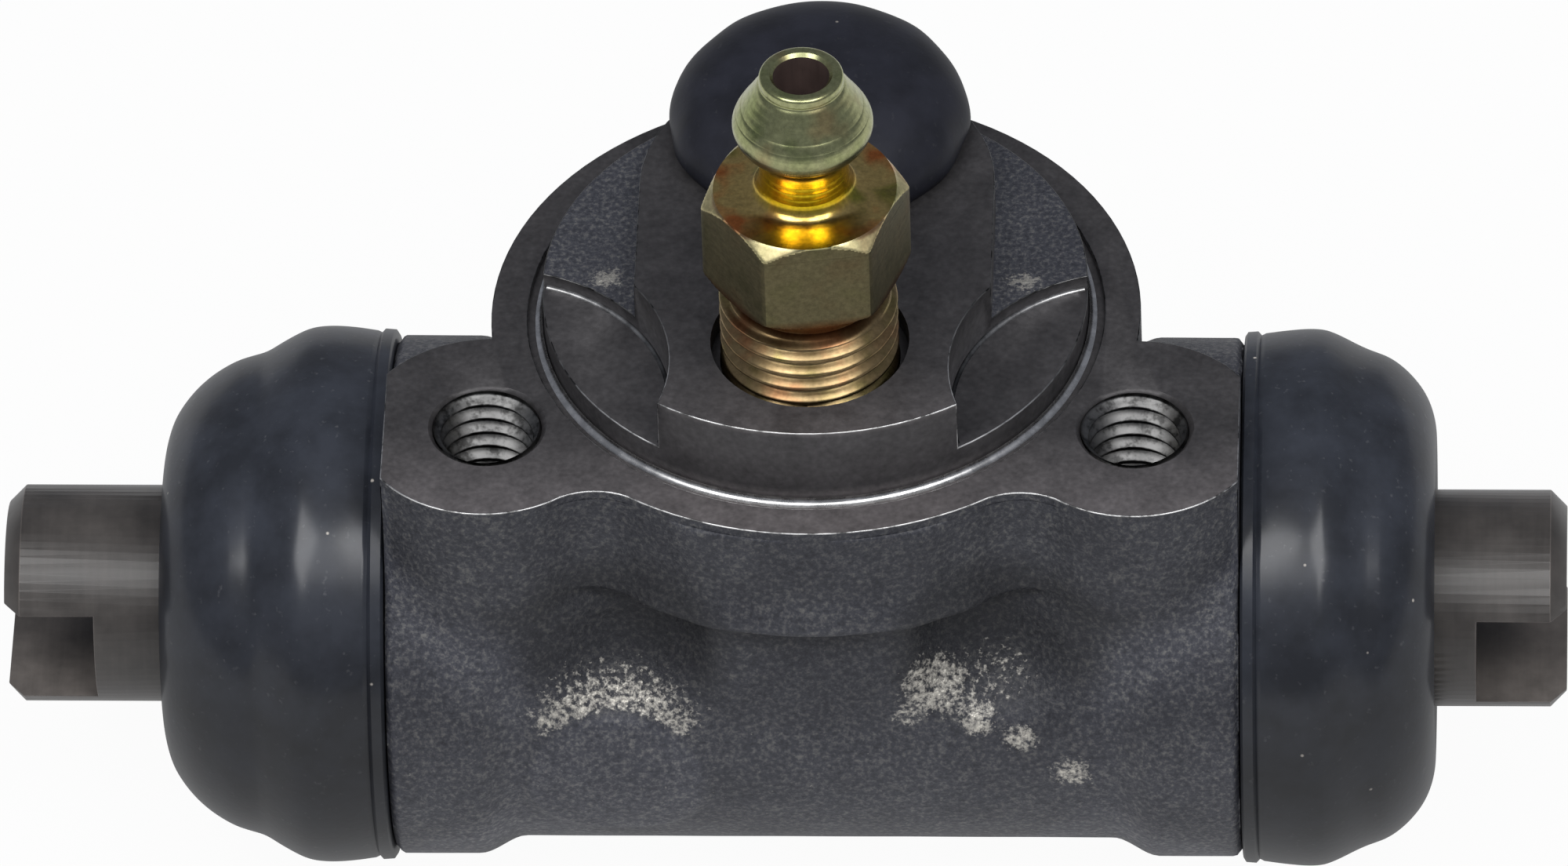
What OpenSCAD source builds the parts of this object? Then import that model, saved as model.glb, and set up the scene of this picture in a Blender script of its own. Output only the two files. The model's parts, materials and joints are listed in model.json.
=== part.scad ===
// Drum brake wheel cylinder: two pistons in a cast body, with boots, bleeder screw and port plug.
// Frame: origin midway between the mounting holes on the mounting face, +Z out of that face,
// +X along the bore. All sizes are in millimetres.

/* [Bore and barrel] */
// Bore diameter
bore_d = 17.46; // [16.5:0.02:18.5]
// Length of the body between the two boot rims
body_len = 46.9; // [45.5:0.1:52]
// Diameter of the barrel between the collars
waist_d = 26.7; // [25.5:0.1:27.5]
// Diameter of the collar at each end of the barrel
collar_d = 28.7; // [27.8:0.1:30]
// Straight width of each collar
collar_w = 4.6; // [3:0.1:6]

/* [Mounting flange] */
// Height of the mounting face over the bore axis
face_height = 17.3; // [16.5:0.1:19]
// Distance of the bore axis behind the line of the mounting holes
axis_offset = 5; // [4:0.1:6]
// Distance between the two tapped mounting holes
hole_spacing = 35.5; // [34.5:0.1:37]
// Outer diameter of the mounting thread
hole_d = 6; // [5:0.5:6.5]
// Depth of the tapped mounting holes
hole_depth = 6.5; // [5:0.1:7]
// Radius of the ear around each mounting hole
ear_r = 7.1; // [6.4:0.1:7.6]
// Diameter of the round flange
flange_d = 35.8; // [34.5:0.1:38]
// Thickness of the flange plate
flange_thickness = 7.4; // [6:0.1:9]

/* [Pilot boss] */
// Diameter of the pilot boss
pilot_d = 30; // [29:0.1:31]
// Distance of the pilot axis behind the line of the mounting holes
pilot_offset = 9.3; // [8.8:0.1:10]
// Height of the machined column on the pilot boss
pilot_height = 4.75; // [4.2:0.05:6.5]
// Width of the machined column
column_w = 19.6; // [18:0.1:21]
// Diameter of the spot face around each mounting hole
spot_face_d = 20.2; // [19:0.1:21]

/* [Pistons] */
// Diameter of the piston stem
stem_d = 12; // [11:0.1:13]
// Width of the shoe slot in the stem
slot_w = 6; // [5:0.1:7]
// Depth of the shoe slot
slot_depth = 5; // [4.2:0.1:6]
// Reach of the left stem past the boot rim
left_reach = 21.6; // [20:0.1:23.5]
// Reach of the right stem past the boot rim
right_reach = 17.9; // [17:0.1:19.5]

/* [Boots] */
// Outer diameter of the boots
boot_d = 29.6; // [29:0.1:31]
// Length of the left boot
left_boot_len = 12.9; // [12.4:0.1:13.6]
// Length of the right boot
right_boot_len = 10.6; // [10.2:0.1:11.2]

/* [Bleeder screw] */
// Outer diameter of the bleeder thread
bleeder_d = 9.8; // [9:0.1:10.5]
// Distance across the flats of the bleeder hexagon
hex_af = 10; // [9:0.1:11]
// Height of the hexagon
hex_height = 5.2; // [4.4:0.1:5.8]
// Turn of the hexagon about its axis
hex_turn = 9; // [0:1:60]
// Height of the bleeder tip over the column
bleeder_height = 19.4; // [18.6:0.1:21]

/* [Port plug] */
// Diameter of the plug head
plug_d = 16.6; // [14:0.1:17]
// Height of the plug head
plug_height = 5.1; // [4:0.1:6.5]

/* [Hidden] */
$fn = 96;

// Clearances of the fits
running_fit = 0.05;
seal_fit = 0.03;
seat_gap = 0.06;
lip_fit = 0.08;
past = 1;
small_overlap = 0.03;

// Barrel
bore_r = bore_d / 2;
waist_r = waist_d / 2;
collar_r = collar_d / 2;
shoulder_x = body_len / 2;
collar_blend = 2.6;
blend_steps = 6;
edge = 0.4;
spigot_r = 12.3;
spigot_len = 4.2;
spigot_end = shoulder_x + spigot_len;
bead_groove_r = 11.6;
bead_groove_in = 1.7;
bead_groove_out = 3.3;
blend_start = shoulder_x - collar_w - collar_blend;
bore_chamfer = 0.5;

// Flange
hole_x = hole_spacing / 2;
hole_r = hole_d / 2;
hole_chamfer = 0.25;
drill_point = 0.6;
flange_r = flange_d / 2;
fillet_r = 4;
ear_foot = sqrt(max(past, collar_r * collar_r - (axis_offset + ear_r) * (axis_offset + ear_r)));
ear_depth = face_height - ear_foot + past;
web_half_w = 4.5;
web_top_in = 0.9;
web_foot_r = waist_r - 0.15;
scoop_r = 5.2;
scoop_sink = 1.7;
scoop_angle = 62;
scoop_x = 10.6;
pad_r = 4.6;
pad_x = -10.6;
pad_drop = 0.9;
pad_proud = 0.25;
pad_root = 2;
inlet_boss_r = 7.6;
inlet_boss_depth = 13;
inlet_boss_tip_r = 3.6;
inlet_boss_tip_depth = 17.5;

// Pilot boss
pilot_r = pilot_d / 2;
spot_face_r = spot_face_d / 2;
spot_face_z = 1.5;
shoulder_z = 2.4;
relief_w = 0.9;
column_r = column_w / 2;
column_round_back = pilot_r - column_r + 0.3;
column_steps = 24;
relief_depth = 0.35;

// Ports
bleeder_r = bleeder_d / 2;
bleeder_forward = 7.4;
bleeder_y = pilot_offset - bleeder_forward;
bleeder_hole_r = bleeder_r + running_fit;
bleeder_mouth_gap = 0.55;
bleeder_mouth_r = bleeder_r + bleeder_mouth_gap;
bleeder_mouth_depth = 1.3;
bleeder_hole_bottom = -3;
bleeder_relief_r = 3.6;
bleeder_relief_bottom = -4.6;
bleeder_passage_r = 1.25;
seat_depth = bleeder_relief_r - bleeder_passage_r;
inlet_back = 9.8;
inlet_y = pilot_offset + inlet_back;
inlet_r = 4.75;
inlet_bottom = -4;
inlet_drill_cone = 2.2;
inlet_passage_r = 1.5;
inlet_passage_len = 13;
inlet_passage_back = 1.5;
inlet_passage_turn = 47.5;

// Pistons, measured from the tip
head_r = bore_r - running_fit;
stem_r = stem_d / 2;
stem_chamfer = 0.9;
lip_groove_start = 8.9;
lip_groove_end = 10.7;
lip_groove_r = stem_r - 0.8;
head_start = 22.2;
head_edge = 0.5;
head_len = 13.3;
head_end = head_start + head_len;
seal_land = 1.5;
seal_groove_w = 3;
seal_groove_end = head_end - seal_land;
seal_groove_start = seal_groove_end - seal_groove_w;
seal_groove_depth = 2.28;
seal_groove_r = head_r - seal_groove_depth;
nose_r = 3.8;
nose_len = 1.5;
left_tip = -(shoulder_x + left_reach);
right_tip = shoulder_x + right_reach;
left_face = left_tip + head_end;
right_face = right_tip - head_end;

// Cup seals
cup_r = bore_r - seal_fit;
cup_gap = 0.08;
cup_lip = 0.9;
cup_floor = 1.1;

// Return spring
wire_r = 0.55;
coil_r = 4.9;
half_turns = 8;
joint_ball_r = 0.6;
spring_start = left_face + wire_r + seat_gap;
spring_end = right_face - wire_r - seat_gap;
half_pitch = (spring_end - spring_start) / half_turns;
coil_tilt = atan2(half_pitch / 2, coil_r);
tilted_r = sqrt(coil_r * coil_r + half_pitch * half_pitch / 4);

// Boots
boot_r = boot_d / 2;
boot_mouth_r = spigot_r + lip_fit;
boot_bead_r = bead_groove_r + lip_fit;
boot_bead_in = bead_groove_in + lip_fit;
boot_bead_out = bead_groove_out - lip_fit;
boot_lip_r = lip_groove_r + lip_fit;
boot_hole_r = stem_r + lip_fit;
left_lip_out = left_reach - lip_groove_start - lip_fit;
left_lip_in = left_reach - lip_groove_end + lip_fit;
right_lip_out = right_reach - lip_groove_start - lip_fit;
right_lip_in = right_reach - lip_groove_end + lip_fit;
rim_gap = 0.05;
spigot_clear = spigot_len + 0.15;
rim_outline = [[0.05, -0.35], [0.2, -0.12], [0.75, -0.08], [0.95, -0.3], [1.2, -0.18]];

// Bleeder screw, heights over the column
hex_corner_r = hex_af / sqrt(3);
hex_bottom = 5.2;
hex_top = hex_bottom + hex_height;
hex_chamfer_rise = 0.77;
hex_cap = hex_top + hex_chamfer_rise;
hex_cap_r = hex_af / 2 - 0.3;
thread_top = 3.9;
thread_edge = 0.5;
undercut_r = bleeder_r - 0.9;
undercut_step = 0.4;
neck_r = 2.45;
neck_fillet = 0.9;
ball_r = 3.85;
ball_drop = 3.5;
ball_edge = 0.15;
ball_half = 0.6;
ball_foot = 1.3;
ball_foot_step = 0.5;
neck_top_drop = 5.6;
tip_r = 2.25;
tip_edge = 0.25;
tip_round = 0.1;
bleed_hole_r = 1.6;
shank_r = 3.3;
point_r = 0.8;
cross_hole_r = 0.9;
thread_bottom = bleeder_hole_bottom + 0.5;
shank_bottom = bleeder_relief_bottom + seat_gap * 2;
point_bottom = shank_bottom - (shank_r - point_r);
cross_hole_z = shank_bottom + cross_hole_r + 0.2;

// Port plug
plug_r = plug_d / 2;
plug_stem_r = inlet_r - running_fit;
plug_bottom = inlet_bottom + 0.8;
plug_edge = 0.6;
dome_steps = 14;

function ear_pt(s) = [s * hole_x, 0];
function pilot_pt() = [0, pilot_offset];

// Centre of the valley fillet that touches the ear and the flange on the front side
function fillet_pt(s) =
    let (a = ear_r + fillet_r)
    let (b = flange_r + fillet_r)
    let (d = sqrt(hole_x * hole_x + pilot_offset * pilot_offset))
    let (along = (b * b - a * a + d * d) / (2 * d))
    let (side = sqrt(max(past, b * b - along * along)))
    [s * (along * hole_x - side * pilot_offset) / d,
        pilot_offset - (along * pilot_offset + side * hole_x) / d];

module along_bore() {
    translate([0, axis_offset, -face_height])
        rotate([0, 90, 0])
            children();
}

function half_barrel() = concat(
    [for (i = [0 : blend_steps])
        let (t = i / blend_steps)
        [waist_r + (collar_r - waist_r) * (1 - cos(180 * t)) / 2, blend_start + collar_blend * t]],
    [[collar_r, shoulder_x - edge], [collar_r - edge, shoulder_x], [spigot_r, shoulder_x],
        [spigot_r, shoulder_x + bead_groove_in], [bead_groove_r, shoulder_x + bead_groove_in],
        [bead_groove_r, shoulder_x + bead_groove_out], [spigot_r, shoulder_x + bead_groove_out],
        [spigot_r, spigot_end - edge], [spigot_r - edge, spigot_end], [0, spigot_end]]);

module barrel() {
    half = half_barrel();
    last = len(half) - 1;
    other = [for (i = [0 : last]) [half[last - i][0], -half[last - i][1]]];
    along_bore()
        rotate_extrude()
            polygon(concat(other, half));
}

module ear_outline(s) {
    intersection() {
        translate(ear_pt(s))
            circle(r = ear_r);
        square([body_len, hole_spacing], center = true);
    }
}

module valley_outline(s) {
    difference() {
        polygon([ear_pt(s), fillet_pt(s), pilot_pt()]);
        translate(fillet_pt(s))
            circle(r = fillet_r + small_overlap);
    }
}

module flange_plate() {
    translate([0, 0, -flange_thickness])
        linear_extrude(height = flange_thickness) {
            translate(pilot_pt())
                circle(r = flange_r);
            for (s = [-1, 1]) {
                ear_outline(s);
                valley_outline(s);
            }
        }
    for (s = [-1, 1])
        translate([0, 0, -ear_depth])
            linear_extrude(height = ear_depth - past)
                ear_outline(s);
}

module front_web() {
    front = pilot_offset - flange_r + web_top_in;
    along_bore()
        linear_extrude(height = 2 * web_half_w, center = true)
            polygon([[-(face_height - past), 0], [-(face_height - past), front - axis_offset],
                [0, -web_foot_r], [0, 0]]);
}

module cast_pad() {
    translate([pad_x, axis_offset - pad_root, -face_height - pad_drop])
        rotate([90, 0, 0])
            cylinder(h = waist_r + pad_proud - pad_root, r = pad_r);
}

module inlet_boss() {
    translate([0, inlet_y, -inlet_boss_depth])
        cylinder(h = inlet_boss_depth - past, r = inlet_boss_r);
    translate([0, inlet_y, -inlet_boss_tip_depth])
        cylinder(h = inlet_boss_tip_depth - inlet_boss_depth, r1 = inlet_boss_tip_r, r2 = inlet_boss_r);
}

module scoops() {
    reach = waist_r - scoop_sink + scoop_r;
    for (s = [-1, 1])
        translate([s * scoop_x, axis_offset - reach * sin(scoop_angle),
            -face_height + reach * cos(scoop_angle)])
            sphere(r = scoop_r);
}

// Plan of the column: straight sides, and a round end at the back that the pilot circle trims
module column_outline() {
    round_y = pilot_offset + column_round_back;
    front_y = pilot_offset - flange_r;
    polygon(concat([[-column_r, front_y], [column_r, front_y]],
        [for (i = [0 : column_steps])
            let (a = 180 * i / column_steps)
            [column_r * cos(a), round_y + column_r * sin(a)]]));
}

module pilot_boss() {
    difference() {
        union() {
            translate([0, pilot_offset, -past])
                cylinder(h = shoulder_z + past, r = pilot_r);
            intersection() {
                translate([0, pilot_offset, -past])
                    cylinder(h = pilot_height + past, r = pilot_r);
                translate([0, 0, -past])
                    linear_extrude(height = pilot_height + past)
                        column_outline();
            }
        }
        for (s = [-1, 1])
            translate([s * hole_x, 0, spot_face_z])
                cylinder(h = pilot_height, r = spot_face_r);
    }
}

module relief_groove() {
    translate([0, pilot_offset, -relief_depth])
        difference() {
            cylinder(h = relief_depth + past, r = pilot_r + relief_w);
            translate([0, 0, -past])
                cylinder(h = relief_depth + past * 3, r = pilot_r);
        }
}

module mounting_holes() {
    for (s = [-1, 1])
        translate([s * hole_x, 0, 0]) {
            translate([0, 0, -hole_depth])
                cylinder(h = hole_depth + past, r = hole_r);
            translate([0, 0, -hole_depth - drill_point])
                cylinder(h = drill_point, r1 = hole_r / 2, r2 = hole_r);
            translate([0, 0, -hole_chamfer])
                cylinder(h = hole_chamfer * 2, r1 = hole_r, r2 = hole_r + hole_chamfer * 2);
        }
}

module bleeder_port() {
    translate([0, bleeder_y, 0]) {
        translate([0, 0, bleeder_hole_bottom])
            cylinder(h = pilot_height + past - bleeder_hole_bottom, r = bleeder_hole_r);
        translate([0, 0, pilot_height - bleeder_mouth_depth])
            cylinder(h = bleeder_mouth_depth + past, r = bleeder_mouth_r);
        translate([0, 0, bleeder_relief_bottom])
            cylinder(h = bleeder_hole_bottom - bleeder_relief_bottom + past, r = bleeder_relief_r);
        translate([0, 0, bleeder_relief_bottom - seat_depth])
            cylinder(h = seat_depth, r1 = bleeder_passage_r, r2 = bleeder_relief_r);
        translate([0, 0, -face_height])
            cylinder(h = face_height + bleeder_relief_bottom, r = bleeder_passage_r);
    }
}

module inlet_port() {
    translate([0, inlet_y, inlet_bottom]) {
        cylinder(h = pilot_height + past - inlet_bottom, r = inlet_r);
        translate([0, 0, -inlet_drill_cone])
            cylinder(h = inlet_drill_cone, r1 = inlet_passage_r, r2 = inlet_r);
        rotate([180 - inlet_passage_turn, 0, 0])
            translate([0, 0, inlet_passage_back])
                cylinder(h = inlet_passage_len, r = inlet_passage_r);
    }
}

module bore() {
    along_bore() {
        cylinder(h = 2 * spigot_end + 2 * past, r = bore_r, center = true);
        for (s = [0, 180])
            rotate([s, 0, 0])
                translate([0, 0, spigot_end - bore_chamfer])
                    cylinder(h = bore_chamfer * 2, r1 = bore_r, r2 = bore_r + bore_chamfer * 2);
    }
}

module cylinder_body() {
    color([0.24, 0.24, 0.26])
        difference() {
            union() {
                barrel();
                flange_plate();
                front_web();
                inlet_boss();
                pilot_boss();
                cast_pad();
            }
            scoops();
            relief_groove();
            mounting_holes();
            bleeder_port();
            inlet_port();
            bore();
        }
}

// Piston with its tip at zero, running to the inside along its axis
module piston() {
    difference() {
        rotate_extrude()
            polygon([[0, 0], [stem_r - stem_chamfer, 0], [stem_r, stem_chamfer],
                [stem_r, lip_groove_start], [lip_groove_r, lip_groove_start],
                [lip_groove_r, lip_groove_end], [stem_r, lip_groove_end], [stem_r, head_start],
                [head_r - head_edge, head_start], [head_r, head_start + head_edge],
                [head_r, seal_groove_start], [seal_groove_r, seal_groove_start],
                [seal_groove_r, seal_groove_end], [head_r - head_edge / 2, seal_groove_end],
                [head_r - head_edge / 2, head_end], [nose_r, head_end],
                [nose_r, head_end + nose_len], [0, head_end + nose_len]]);
        translate([-slot_w / 2, -stem_d, -past])
            cube([slot_w, stem_d * 2, slot_depth + past]);
    }
}

module place_left() {
    translate([left_tip, 0, 0])
        along_bore()
            children();
}

module place_right() {
    translate([right_tip, 0, 0])
        along_bore()
            rotate([180, 0, 0])
                children();
}

module left_piston() {
    color([0.3, 0.28, 0.27])
        place_left()
            piston();
}

module right_piston() {
    color([0.3, 0.28, 0.27])
        place_right()
            piston();
}

// Rubber cup with its open lip towards the pressure side
module cup_seal() {
    inner = seal_groove_r + cup_gap;
    start = seal_groove_start + cup_gap;
    end = seal_groove_end - cup_gap;
    rotate_extrude()
        polygon([[inner, start], [cup_r - head_edge / 2, start], [cup_r, start + cup_floor],
            [cup_r, end], [cup_r - cup_lip / 2, end], [cup_r - cup_lip, start + cup_floor],
            [inner + cup_lip, start + cup_floor], [inner + cup_lip / 2, end], [inner, end]]);
}

module left_cup_seal() {
    color([0.08, 0.08, 0.09])
        place_left()
            cup_seal();
}

module right_cup_seal() {
    color([0.08, 0.08, 0.09])
        place_right()
            cup_seal();
}

module return_spring() {
    color([0.55, 0.55, 0.58])
        along_bore() {
            for (i = [0 : half_turns - 1])
                translate([0, 0, spring_start + (i + 0.5) * half_pitch])
                    rotate([0, 0, 180 * i])
                        rotate([0, -coil_tilt, 0])
                            rotate_extrude(angle = 180)
                                translate([tilted_r, 0])
                                    circle(r = wire_r);
            for (i = [0 : half_turns])
                translate([(i % 2 == 0 ? -1 : 1) * coil_r, 0, spring_start + i * half_pitch])
                    sphere(r = joint_ball_r);
        }
}

function rim_pts() = [for (p = rim_outline) [boot_r + p[1], p[0]]];

// Outer line of the left boot, stretched: length along the bore as a share of the boot length
function left_outer(n) = [for (p = [[0.295, 0.02], [0.364, -0.1], [0.434, -0.52], [0.512, -1.08],
    [0.605, -1.55], [0.698, -2.02], [0.783, -2.65], [0.868, -3.55], [0.93, -4.4], [0.973, -5.4],
    [0.996, -6.6], [1, -7.6]]) [boot_r + p[1], p[0] * n]];

function left_inner(n) = [for (p = [[0.86, -6.9], [0.83, -5.9], [0.78, -4.9], [0.7, -3.9],
    [0.6, -3.2], [0.5, -2.6], [0.41, -2], [0.36, -1.75]]) [boot_r + p[1], p[0] * n]];

// Outer line of the right boot, pushed in: its fold stands out past the lip
function right_outer(n) = [for (p = [[0.32, 0], [0.415, -0.14], [0.51, -0.46], [0.62, -0.94],
    [0.755, -1.48], [0.85, -2.08], [0.925, -2.85], [0.972, -3.85], [0.997, -5.2], [1, -6.2],
    [0.975, -7], [0.92, -7.9]]) [boot_r + p[1], p[0] * n]];

function right_inner(n) = [for (p = [[0.78, -7.7], [0.845, -6.6], [0.87, -5.6], [0.85, -4.5],
    [0.8, -3.6], [0.71, -2.9], [0.6, -2.35], [0.5, -1.95], [0.43, -1.75]]) [boot_r + p[1], p[0] * n]];

function boot_seat() = [[boot_mouth_r, spigot_clear], [boot_mouth_r, boot_bead_out],
    [boot_bead_r, boot_bead_out], [boot_bead_r, boot_bead_in], [boot_mouth_r, boot_bead_in],
    [boot_mouth_r, rim_gap]];

module left_boot() {
    n = left_boot_len;
    color([0.07, 0.07, 0.08])
        translate([-shoulder_x, 0, 0])
            along_bore()
                rotate([180, 0, 0])
                    rotate_extrude()
                        polygon(concat(rim_pts(), left_outer(n),
                            [[boot_hole_r, n], [boot_hole_r, left_lip_out], [boot_lip_r, left_lip_out],
                                [boot_lip_r, left_lip_in]],
                            left_inner(n), boot_seat()));
}

module right_boot() {
    n = right_boot_len;
    color([0.07, 0.07, 0.08])
        translate([shoulder_x, 0, 0])
            along_bore()
                rotate_extrude()
                    polygon(concat(rim_pts(), right_outer(n),
                        [[boot_hole_r, right_lip_out], [boot_lip_r, right_lip_out],
                            [boot_lip_r, right_lip_in]],
                        right_inner(n), boot_seat()));
}

module bleeder_turning() {
    h = bleeder_height;
    rotate_extrude()
        polygon([[0, point_bottom - pilot_height], [point_r, point_bottom - pilot_height],
            [shank_r, shank_bottom - pilot_height], [shank_r, thread_bottom - pilot_height],
            [bleeder_r - thread_edge, thread_bottom - pilot_height],
            [bleeder_r, thread_bottom + thread_edge - pilot_height],
            [bleeder_r, thread_top - thread_edge], [bleeder_r - thread_edge, thread_top],
            [undercut_r, thread_top], [undercut_r, hex_bottom + undercut_step],
            [hex_cap_r, hex_bottom + undercut_step], [hex_cap_r, hex_cap],
            [neck_r + neck_fillet, hex_cap], [neck_r + neck_fillet / 4, hex_cap + neck_fillet / 4],
            [neck_r, hex_cap + neck_fillet], [neck_r, h - neck_top_drop],
            [ball_r - ball_foot_step, h - ball_drop - ball_foot],
            [ball_r - ball_edge, h - ball_drop - ball_half], [ball_r, h - ball_drop],
            [ball_r - ball_edge, h - ball_drop + ball_half], [tip_r + tip_round, h - tip_edge],
            [tip_r - tip_round, h], [0, h]]);
}

module bleeder_hex() {
    rotate([0, 0, hex_turn])
        intersection() {
            translate([0, 0, hex_bottom])
                cylinder(h = hex_height + hex_chamfer_rise, r = hex_corner_r, $fn = 6);
            translate([0, 0, hex_bottom])
                cylinder(h = hex_height + hex_chamfer_rise, r1 = hex_corner_r + hex_height + small_overlap,
                    r2 = hex_corner_r - hex_chamfer_rise + small_overlap);
        }
}

module bleeder_screw() {
    color([0.78, 0.66, 0.34])
        translate([0, bleeder_y, pilot_height])
            difference() {
                union() {
                    bleeder_turning();
                    bleeder_hex();
                }
                translate([0, 0, cross_hole_z - pilot_height])
                    cylinder(h = bleeder_height - cross_hole_z + pilot_height + past, r = bleed_hole_r);
                translate([0, 0, cross_hole_z - pilot_height])
                    rotate([0, 90, 0])
                        cylinder(h = bleeder_d, r = cross_hole_r, center = true);
            }
}

module port_plug() {
    dome = [for (i = [1 : dome_steps])
        let (a = 90 * i / dome_steps)
        [plug_r * cos(a), seat_gap + plug_edge + (plug_height - plug_edge - seat_gap) * sin(a)]];
    color([0.06, 0.06, 0.06])
        translate([0, inlet_y, pilot_height])
            rotate_extrude()
                polygon(concat([[0, plug_bottom - pilot_height],
                    [plug_stem_r - plug_edge, plug_bottom - pilot_height],
                    [plug_stem_r, plug_bottom + plug_edge - pilot_height], [plug_stem_r, seat_gap],
                    [plug_r - plug_edge / 2, seat_gap], [plug_r, seat_gap + plug_edge]], dome));
}

cylinder_body();
left_piston();
right_piston();
left_cup_seal();
right_cup_seal();
return_spring();
left_boot();
right_boot();
bleeder_screw();
port_plug();
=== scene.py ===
"""Drum brake wheel cylinder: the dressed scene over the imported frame.

All sizes inside the shape functions are in millimetres, in the frame of the part:
origin on the mounting face between the holes, +Z out of the face, +X along the bore.
"""

import itertools
import json
import math

import bmesh
import bpy
import numpy as np
from mathutils import Matrix, Vector


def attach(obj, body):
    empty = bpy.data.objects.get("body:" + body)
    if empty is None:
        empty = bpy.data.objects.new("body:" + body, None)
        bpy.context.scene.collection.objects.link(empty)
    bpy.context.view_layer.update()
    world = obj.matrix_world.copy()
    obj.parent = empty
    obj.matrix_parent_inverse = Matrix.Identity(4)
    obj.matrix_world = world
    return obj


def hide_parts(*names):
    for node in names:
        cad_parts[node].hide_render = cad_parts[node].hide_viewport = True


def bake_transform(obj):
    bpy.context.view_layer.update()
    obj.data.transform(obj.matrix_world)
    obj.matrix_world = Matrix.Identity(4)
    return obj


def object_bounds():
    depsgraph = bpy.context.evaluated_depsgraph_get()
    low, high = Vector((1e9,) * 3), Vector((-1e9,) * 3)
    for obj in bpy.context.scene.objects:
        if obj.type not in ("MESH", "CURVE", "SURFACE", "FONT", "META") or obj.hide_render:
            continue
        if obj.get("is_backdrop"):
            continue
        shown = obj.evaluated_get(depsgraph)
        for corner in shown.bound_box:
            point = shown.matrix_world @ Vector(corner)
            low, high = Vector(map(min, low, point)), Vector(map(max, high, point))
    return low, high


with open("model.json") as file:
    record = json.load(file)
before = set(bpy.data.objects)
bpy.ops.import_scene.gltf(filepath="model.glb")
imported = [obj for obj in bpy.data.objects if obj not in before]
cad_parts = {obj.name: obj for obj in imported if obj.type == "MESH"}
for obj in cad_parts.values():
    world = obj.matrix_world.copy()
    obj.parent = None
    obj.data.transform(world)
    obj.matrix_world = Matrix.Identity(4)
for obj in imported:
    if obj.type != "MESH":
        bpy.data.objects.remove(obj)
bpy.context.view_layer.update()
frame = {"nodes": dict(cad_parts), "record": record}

bl_info = {
    "name": "Wheel cylinder",
    "version": (1, 0, 0),
    "blender": (4, 5, 0),
    "location": "3D View > Sidebar > Wheel cylinder",
    "description": "Builds the dressed pieces of a drum brake wheel cylinder over its frame",
    "category": "Object",
}

MM = 0.001
MOUNTS = {mount["name"]: mount for mount in frame["record"]["mounts"]}

# Places in millimetres that the record gives
_, BORE_Y, BORE_Z = (value / MM for value in MOUNTS["left_shoe_slot"]["pos_m"])
_, PILOT_Y, COLUMN_Z = (value / MM for value in MOUNTS["pilot"]["pos_m"])
_, BLEEDER_Y, TIP_Z = (value / MM for value in MOUNTS["bleed_nipple"]["pos_m"])
TIP_RISE = TIP_Z - COLUMN_Z
HOLE_X = MOUNTS["mounting_bolts"]["dims"]["spacing_x_mm"] / 2

# Places that it doesn't give: where the boots sit on the body, the inlet port's axis, and the height at
# which the machined top goes over into the cast skin
SHOULDER_X, INLET_Y, STRIP_Z = 23.45, 19.1, -0.6

# Sizes of the casting: the barrel, the rise to its collars, the sunk scoops and the round pad
WAIST_R, COLLAR_RISE = 13.35, (16.25, 18.85)
SCOOP_X, SCOOP_R, SCOOP_SINK, SCOOP_TURN = 10.6, 5.2, 1.7, math.radians(62)
PAD_X, PAD_TURN = -10.9, math.radians(-7.8)

# Sizes of the pistons' stems and of the bleeder's hexagon: half its width over flats, its corner radius,
# where its chamfer starts at a corner, and its flat top
STEM_R = 6.0
FLAT_R, CORNER_R, CHAMFER_Z, CAP_Z = 5.0, 5.7735, 10.4, 11.17


def linear(hex_colour):
    """Turns an sRGB hex colour into linear red, green and blue by the sRGB curve."""
    value = np.array([int(hex_colour[i:i + 2], 16) for i in (1, 3, 5)]) / 255
    return tuple(np.where(value <= 0.04045, value / 12.92, ((value + 0.055) / 1.055) ** 2.4).tolist())


def rgba(colour):
    """The same colour with full cover, for a shader's socket."""
    return (*tuple(colour)[:3], 1.0)


def colour_property(name, description, hex_colour):
    """A colour that a user may change, kept as linear values."""
    return bpy.props.FloatVectorProperty(name=name, description=description, subtype="COLOR", size=3,
                                         min=0, max=1, default=linear(hex_colour))


def length_property(name, description, millimetres):
    """A length that a user may change, kept in metres."""
    return bpy.props.FloatProperty(name=name, description=description, unit="LENGTH", precision=6,
                                   min=0, default=millimetres * MM)


class WHEELCYL_CastingSettings(bpy.types.PropertyGroup):
    """Sizes and colours of the cast body."""
    step: length_property("Skin step", "Spacing of the grid that the casting is worked out on", 0.34)
    waviness: length_property("Waviness", "Depth of the slow waves in the cast skin", 0.03)
    lip: length_property("Flange lip", "How far the lower edge of the flange flares out", 0.55)
    arris: length_property("Arris width", "Width of the bright worn edges", 0.28)
    pitch: length_property("Hole thread pitch", "Pitch of the mounting threads", 1.0)
    cast: colour_property("Cast skin", "Colour of the dark cast skin", "#3e3f45")
    cast_light: colour_property("Cast grain", "Colour of the light grains in the skin", "#676664")
    glint: colour_property("Bare grain", "Colour of the bare grains in the scoops", "#ddd8cd")
    machined: colour_property("Machined face", "Colour of the turned and faced iron", "#4c4a4b")
    bare: colour_property("Bare arris", "Colour of the worn edges", "#e6e5e4")


class WHEELCYL_SteelSettings(bpy.types.PropertyGroup):
    """Colours of the pistons, the cups and the spring."""
    piston: colour_property("Piston", "Colour of the turned pistons", "#433f3c")
    spring: colour_property("Spring", "Colour of the spring wire", "#8f9196")
    cup: colour_property("Cup", "Colour of the cup rubber", "#141416")
    edge: length_property("Piston edge", "Width of the broken edges of the stems", 0.08)


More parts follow.
